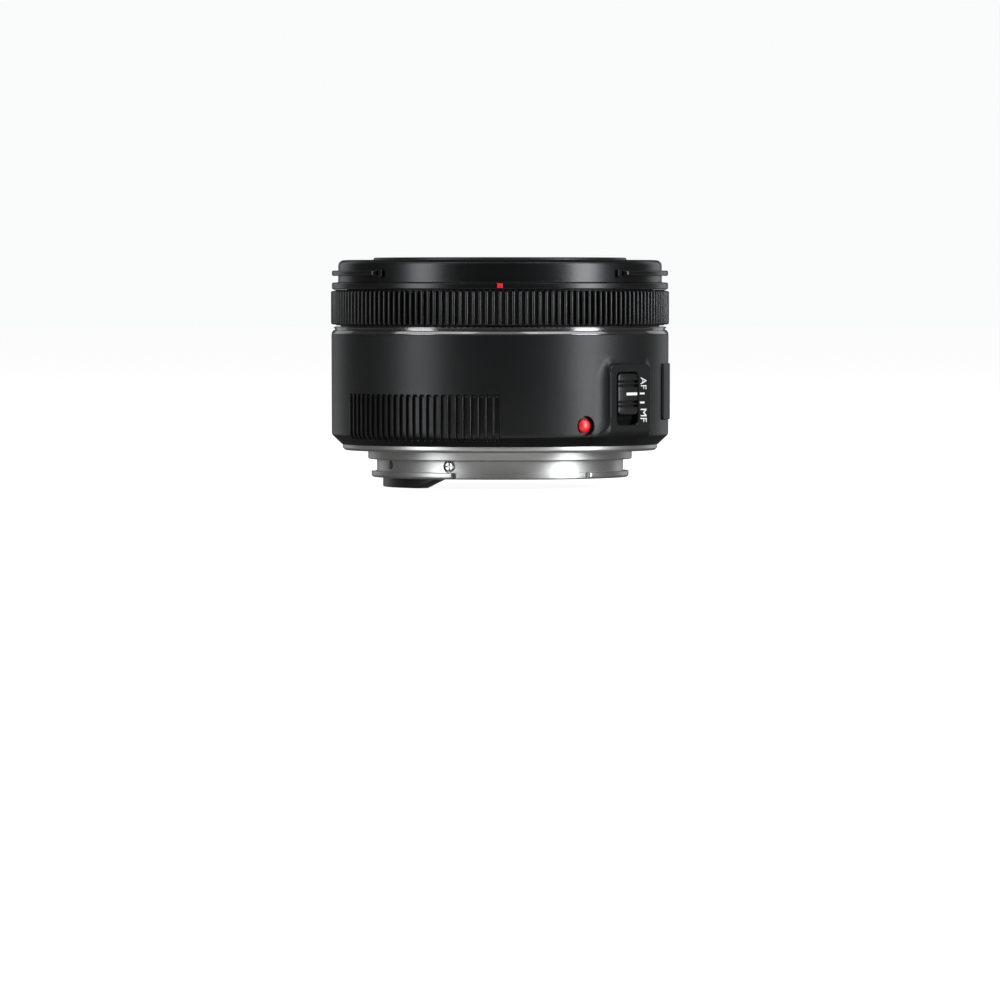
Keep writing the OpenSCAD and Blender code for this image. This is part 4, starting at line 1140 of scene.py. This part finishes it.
class LENS_OT_studio(bpy.types.Operator):
    """Pale floor, soft lights, surroundings and camera"""

    bl_idname = "lens.studio"
    bl_label = "Studio"

    def execute(self, context):
        scene, s = context.scene, context.scene.lens_studio
        scene.view_settings.view_transform = "Standard"
        floor = turned("floor", [(0, FOOT_Z - 0.03), (6000, FOOT_Z - 0.03), (6000, FOOT_Z - 20),
                                 (0, FOOT_Z - 20)], 128)
        p = Paint("Studio floor")
        cloud = p.noise(9.0, 3.0)
        floor.data.materials.append(p.surface(Base_Color=p.blend(cloud, (0.4, 0.4, 0.4),
                                                                 (0.43, 0.43, 0.43)), Roughness=0.8,
                                              Specular_IOR_Level=0.1, Emission_Color=(1, 1, 1, 1),
                                              Emission_Strength=0.93))
        floor.visible_diffuse = floor.visible_glossy = False
        world = bpy.data.worlds.new("Studio")
        scene.world = world
        world.use_nodes = True
        tree = world.node_tree
        tree.nodes.clear()
        seen = tree.nodes.new("ShaderNodeLightPath")
        dim = tree.nodes.new("ShaderNodeBackground")
        pale = tree.nodes.new("ShaderNodeBackground")
        mix = tree.nodes.new("ShaderNodeMixShader")
        out = tree.nodes.new("ShaderNodeOutputWorld")
        for shader, colour, strength in ((dim, (1, 1, 1, 1), 0.09), (pale, (0.96, 0.965, 0.97, 1), 1.0)):
            shader.inputs["Color"].default_value = colour
            shader.inputs["Strength"].default_value = strength
        tree.links.new(seen.outputs["Is Camera Ray"], mix.inputs[0])
        tree.links.new(dim.outputs[0], mix.inputs[1])
        tree.links.new(pale.outputs[0], mix.inputs[2])
        tree.links.new(mix.outputs[0], out.inputs["Surface"])
        aim = Vector((0, 0, 0.016))
        lights = (  # name, phi, distance, height, width, tall, watts
            ("left_softbox", -56, 1.0, 0.16, 0.34, 0.7, 5.6),
            ("right_softbox", 62, 1.0, 0.16, 0.34, 0.7, 10.5),
            ("left_rear_strip", -146, 1.1, 0.2, 0.5, 0.7, 0.6),
            ("right_rear_strip", 146, 1.1, 0.2, 0.5, 0.7, 0.8),
            ("overhead_middle", 0, 0.75, 1.0, 0.9, 0.5, 1.3),
            ("overhead_left", -62, 0.75, 1.0, 1.0, 0.5, 4.2),
            ("overhead_right", 62, 0.75, 1.0, 1.0, 0.5, 4.8),
        )
        for name, phi, away, height, width, tall, watts in lights:
            lamp = area_light(name, width, tall, watts)
            lamp.data.color = (0.95, 0.975, 1.0)
            lamp.location = Vector(around(phi, away, height))
            lamp.rotation_euler = (aim - lamp.location).to_track_quat("-Z", "Y").to_euler()
        cards = (  # light thrown up by the table: name, x, y, width, depth, watts
            ("table_front", 0, -0.065, 0.16, 0.05, 0.025),
            ("table_left", -0.17, 0.02, 0.2, 0.34, 0.07),
            ("table_right", 0.17, 0.02, 0.2, 0.34, 0.08),
        )
        for name, x, y, width, deep, watts in cards:
            card = area_light(name, width, deep, watts)
            card.location = (x, y, (FOOT_Z + 0.2) * MM)
            card.rotation_euler = (math.pi, 0, 0)
        data = bpy.data.cameras.new("camera")
        data.lens, data.sensor_width, data.clip_start, data.clip_end = s.focal_length, 36.0, 0.05, 50.0
        camera = bpy.data.objects.new("camera", data)
        camera.location = (0, -s.camera_distance, s.camera_height)
        camera.rotation_euler = Euler((math.pi / 2 - s.camera_pitch, 0, 0))
        scene.collection.objects.link(camera)
        scene.camera = camera
        return {"FINISHED"}


OPERATORS = (LENS_OT_bayonet_mount, LENS_OT_screws, LENS_OT_contacts, LENS_OT_rear, LENS_OT_main_barrel,
             LENS_OT_plates_and_marks, LENS_OT_focus_ring, LENS_OT_front_cover, LENS_OT_front_barrel,
             LENS_OT_glass, LENS_OT_mode_switch, LENS_OT_inner_works, LENS_OT_studio)


class LENS_PT_builder(bpy.types.Panel):
    bl_idname = "LENS_PT_builder"
    bl_label = "Prime Lens"
    bl_space_type = "VIEW_3D"
    bl_region_type = "UI"
    bl_category = "Prime Lens"

    def draw(self, context):
        layout = self.layout
        for group in (context.scene.lens_sizes, context.scene.lens_colours, context.scene.lens_studio):
            box = layout.box()
            for name in group.__annotations__:
                box.prop(group, name)
        for operator in OPERATORS:
            layout.operator(operator.bl_idname)


CLASSES = (LensSizes, LensColours, StudioSettings, *OPERATORS, LENS_PT_builder)


def register():
    for cls in CLASSES:
        bpy.utils.register_class(cls)
    bpy.types.Scene.lens_sizes = bpy.props.PointerProperty(type=LensSizes)
    bpy.types.Scene.lens_colours = bpy.props.PointerProperty(type=LensColours)
    bpy.types.Scene.lens_studio = bpy.props.PointerProperty(type=StudioSettings)


def unregister():
    del bpy.types.Scene.lens_studio, bpy.types.Scene.lens_colours, bpy.types.Scene.lens_sizes
    for cls in reversed(CLASSES):
        bpy.utils.unregister_class(cls)


def main():
    register()
    for operator in OPERATORS:
        group, name = operator.bl_idname.split(".")
        getattr(getattr(bpy.ops, group), name)()


if __name__ == "__main__":
    main()
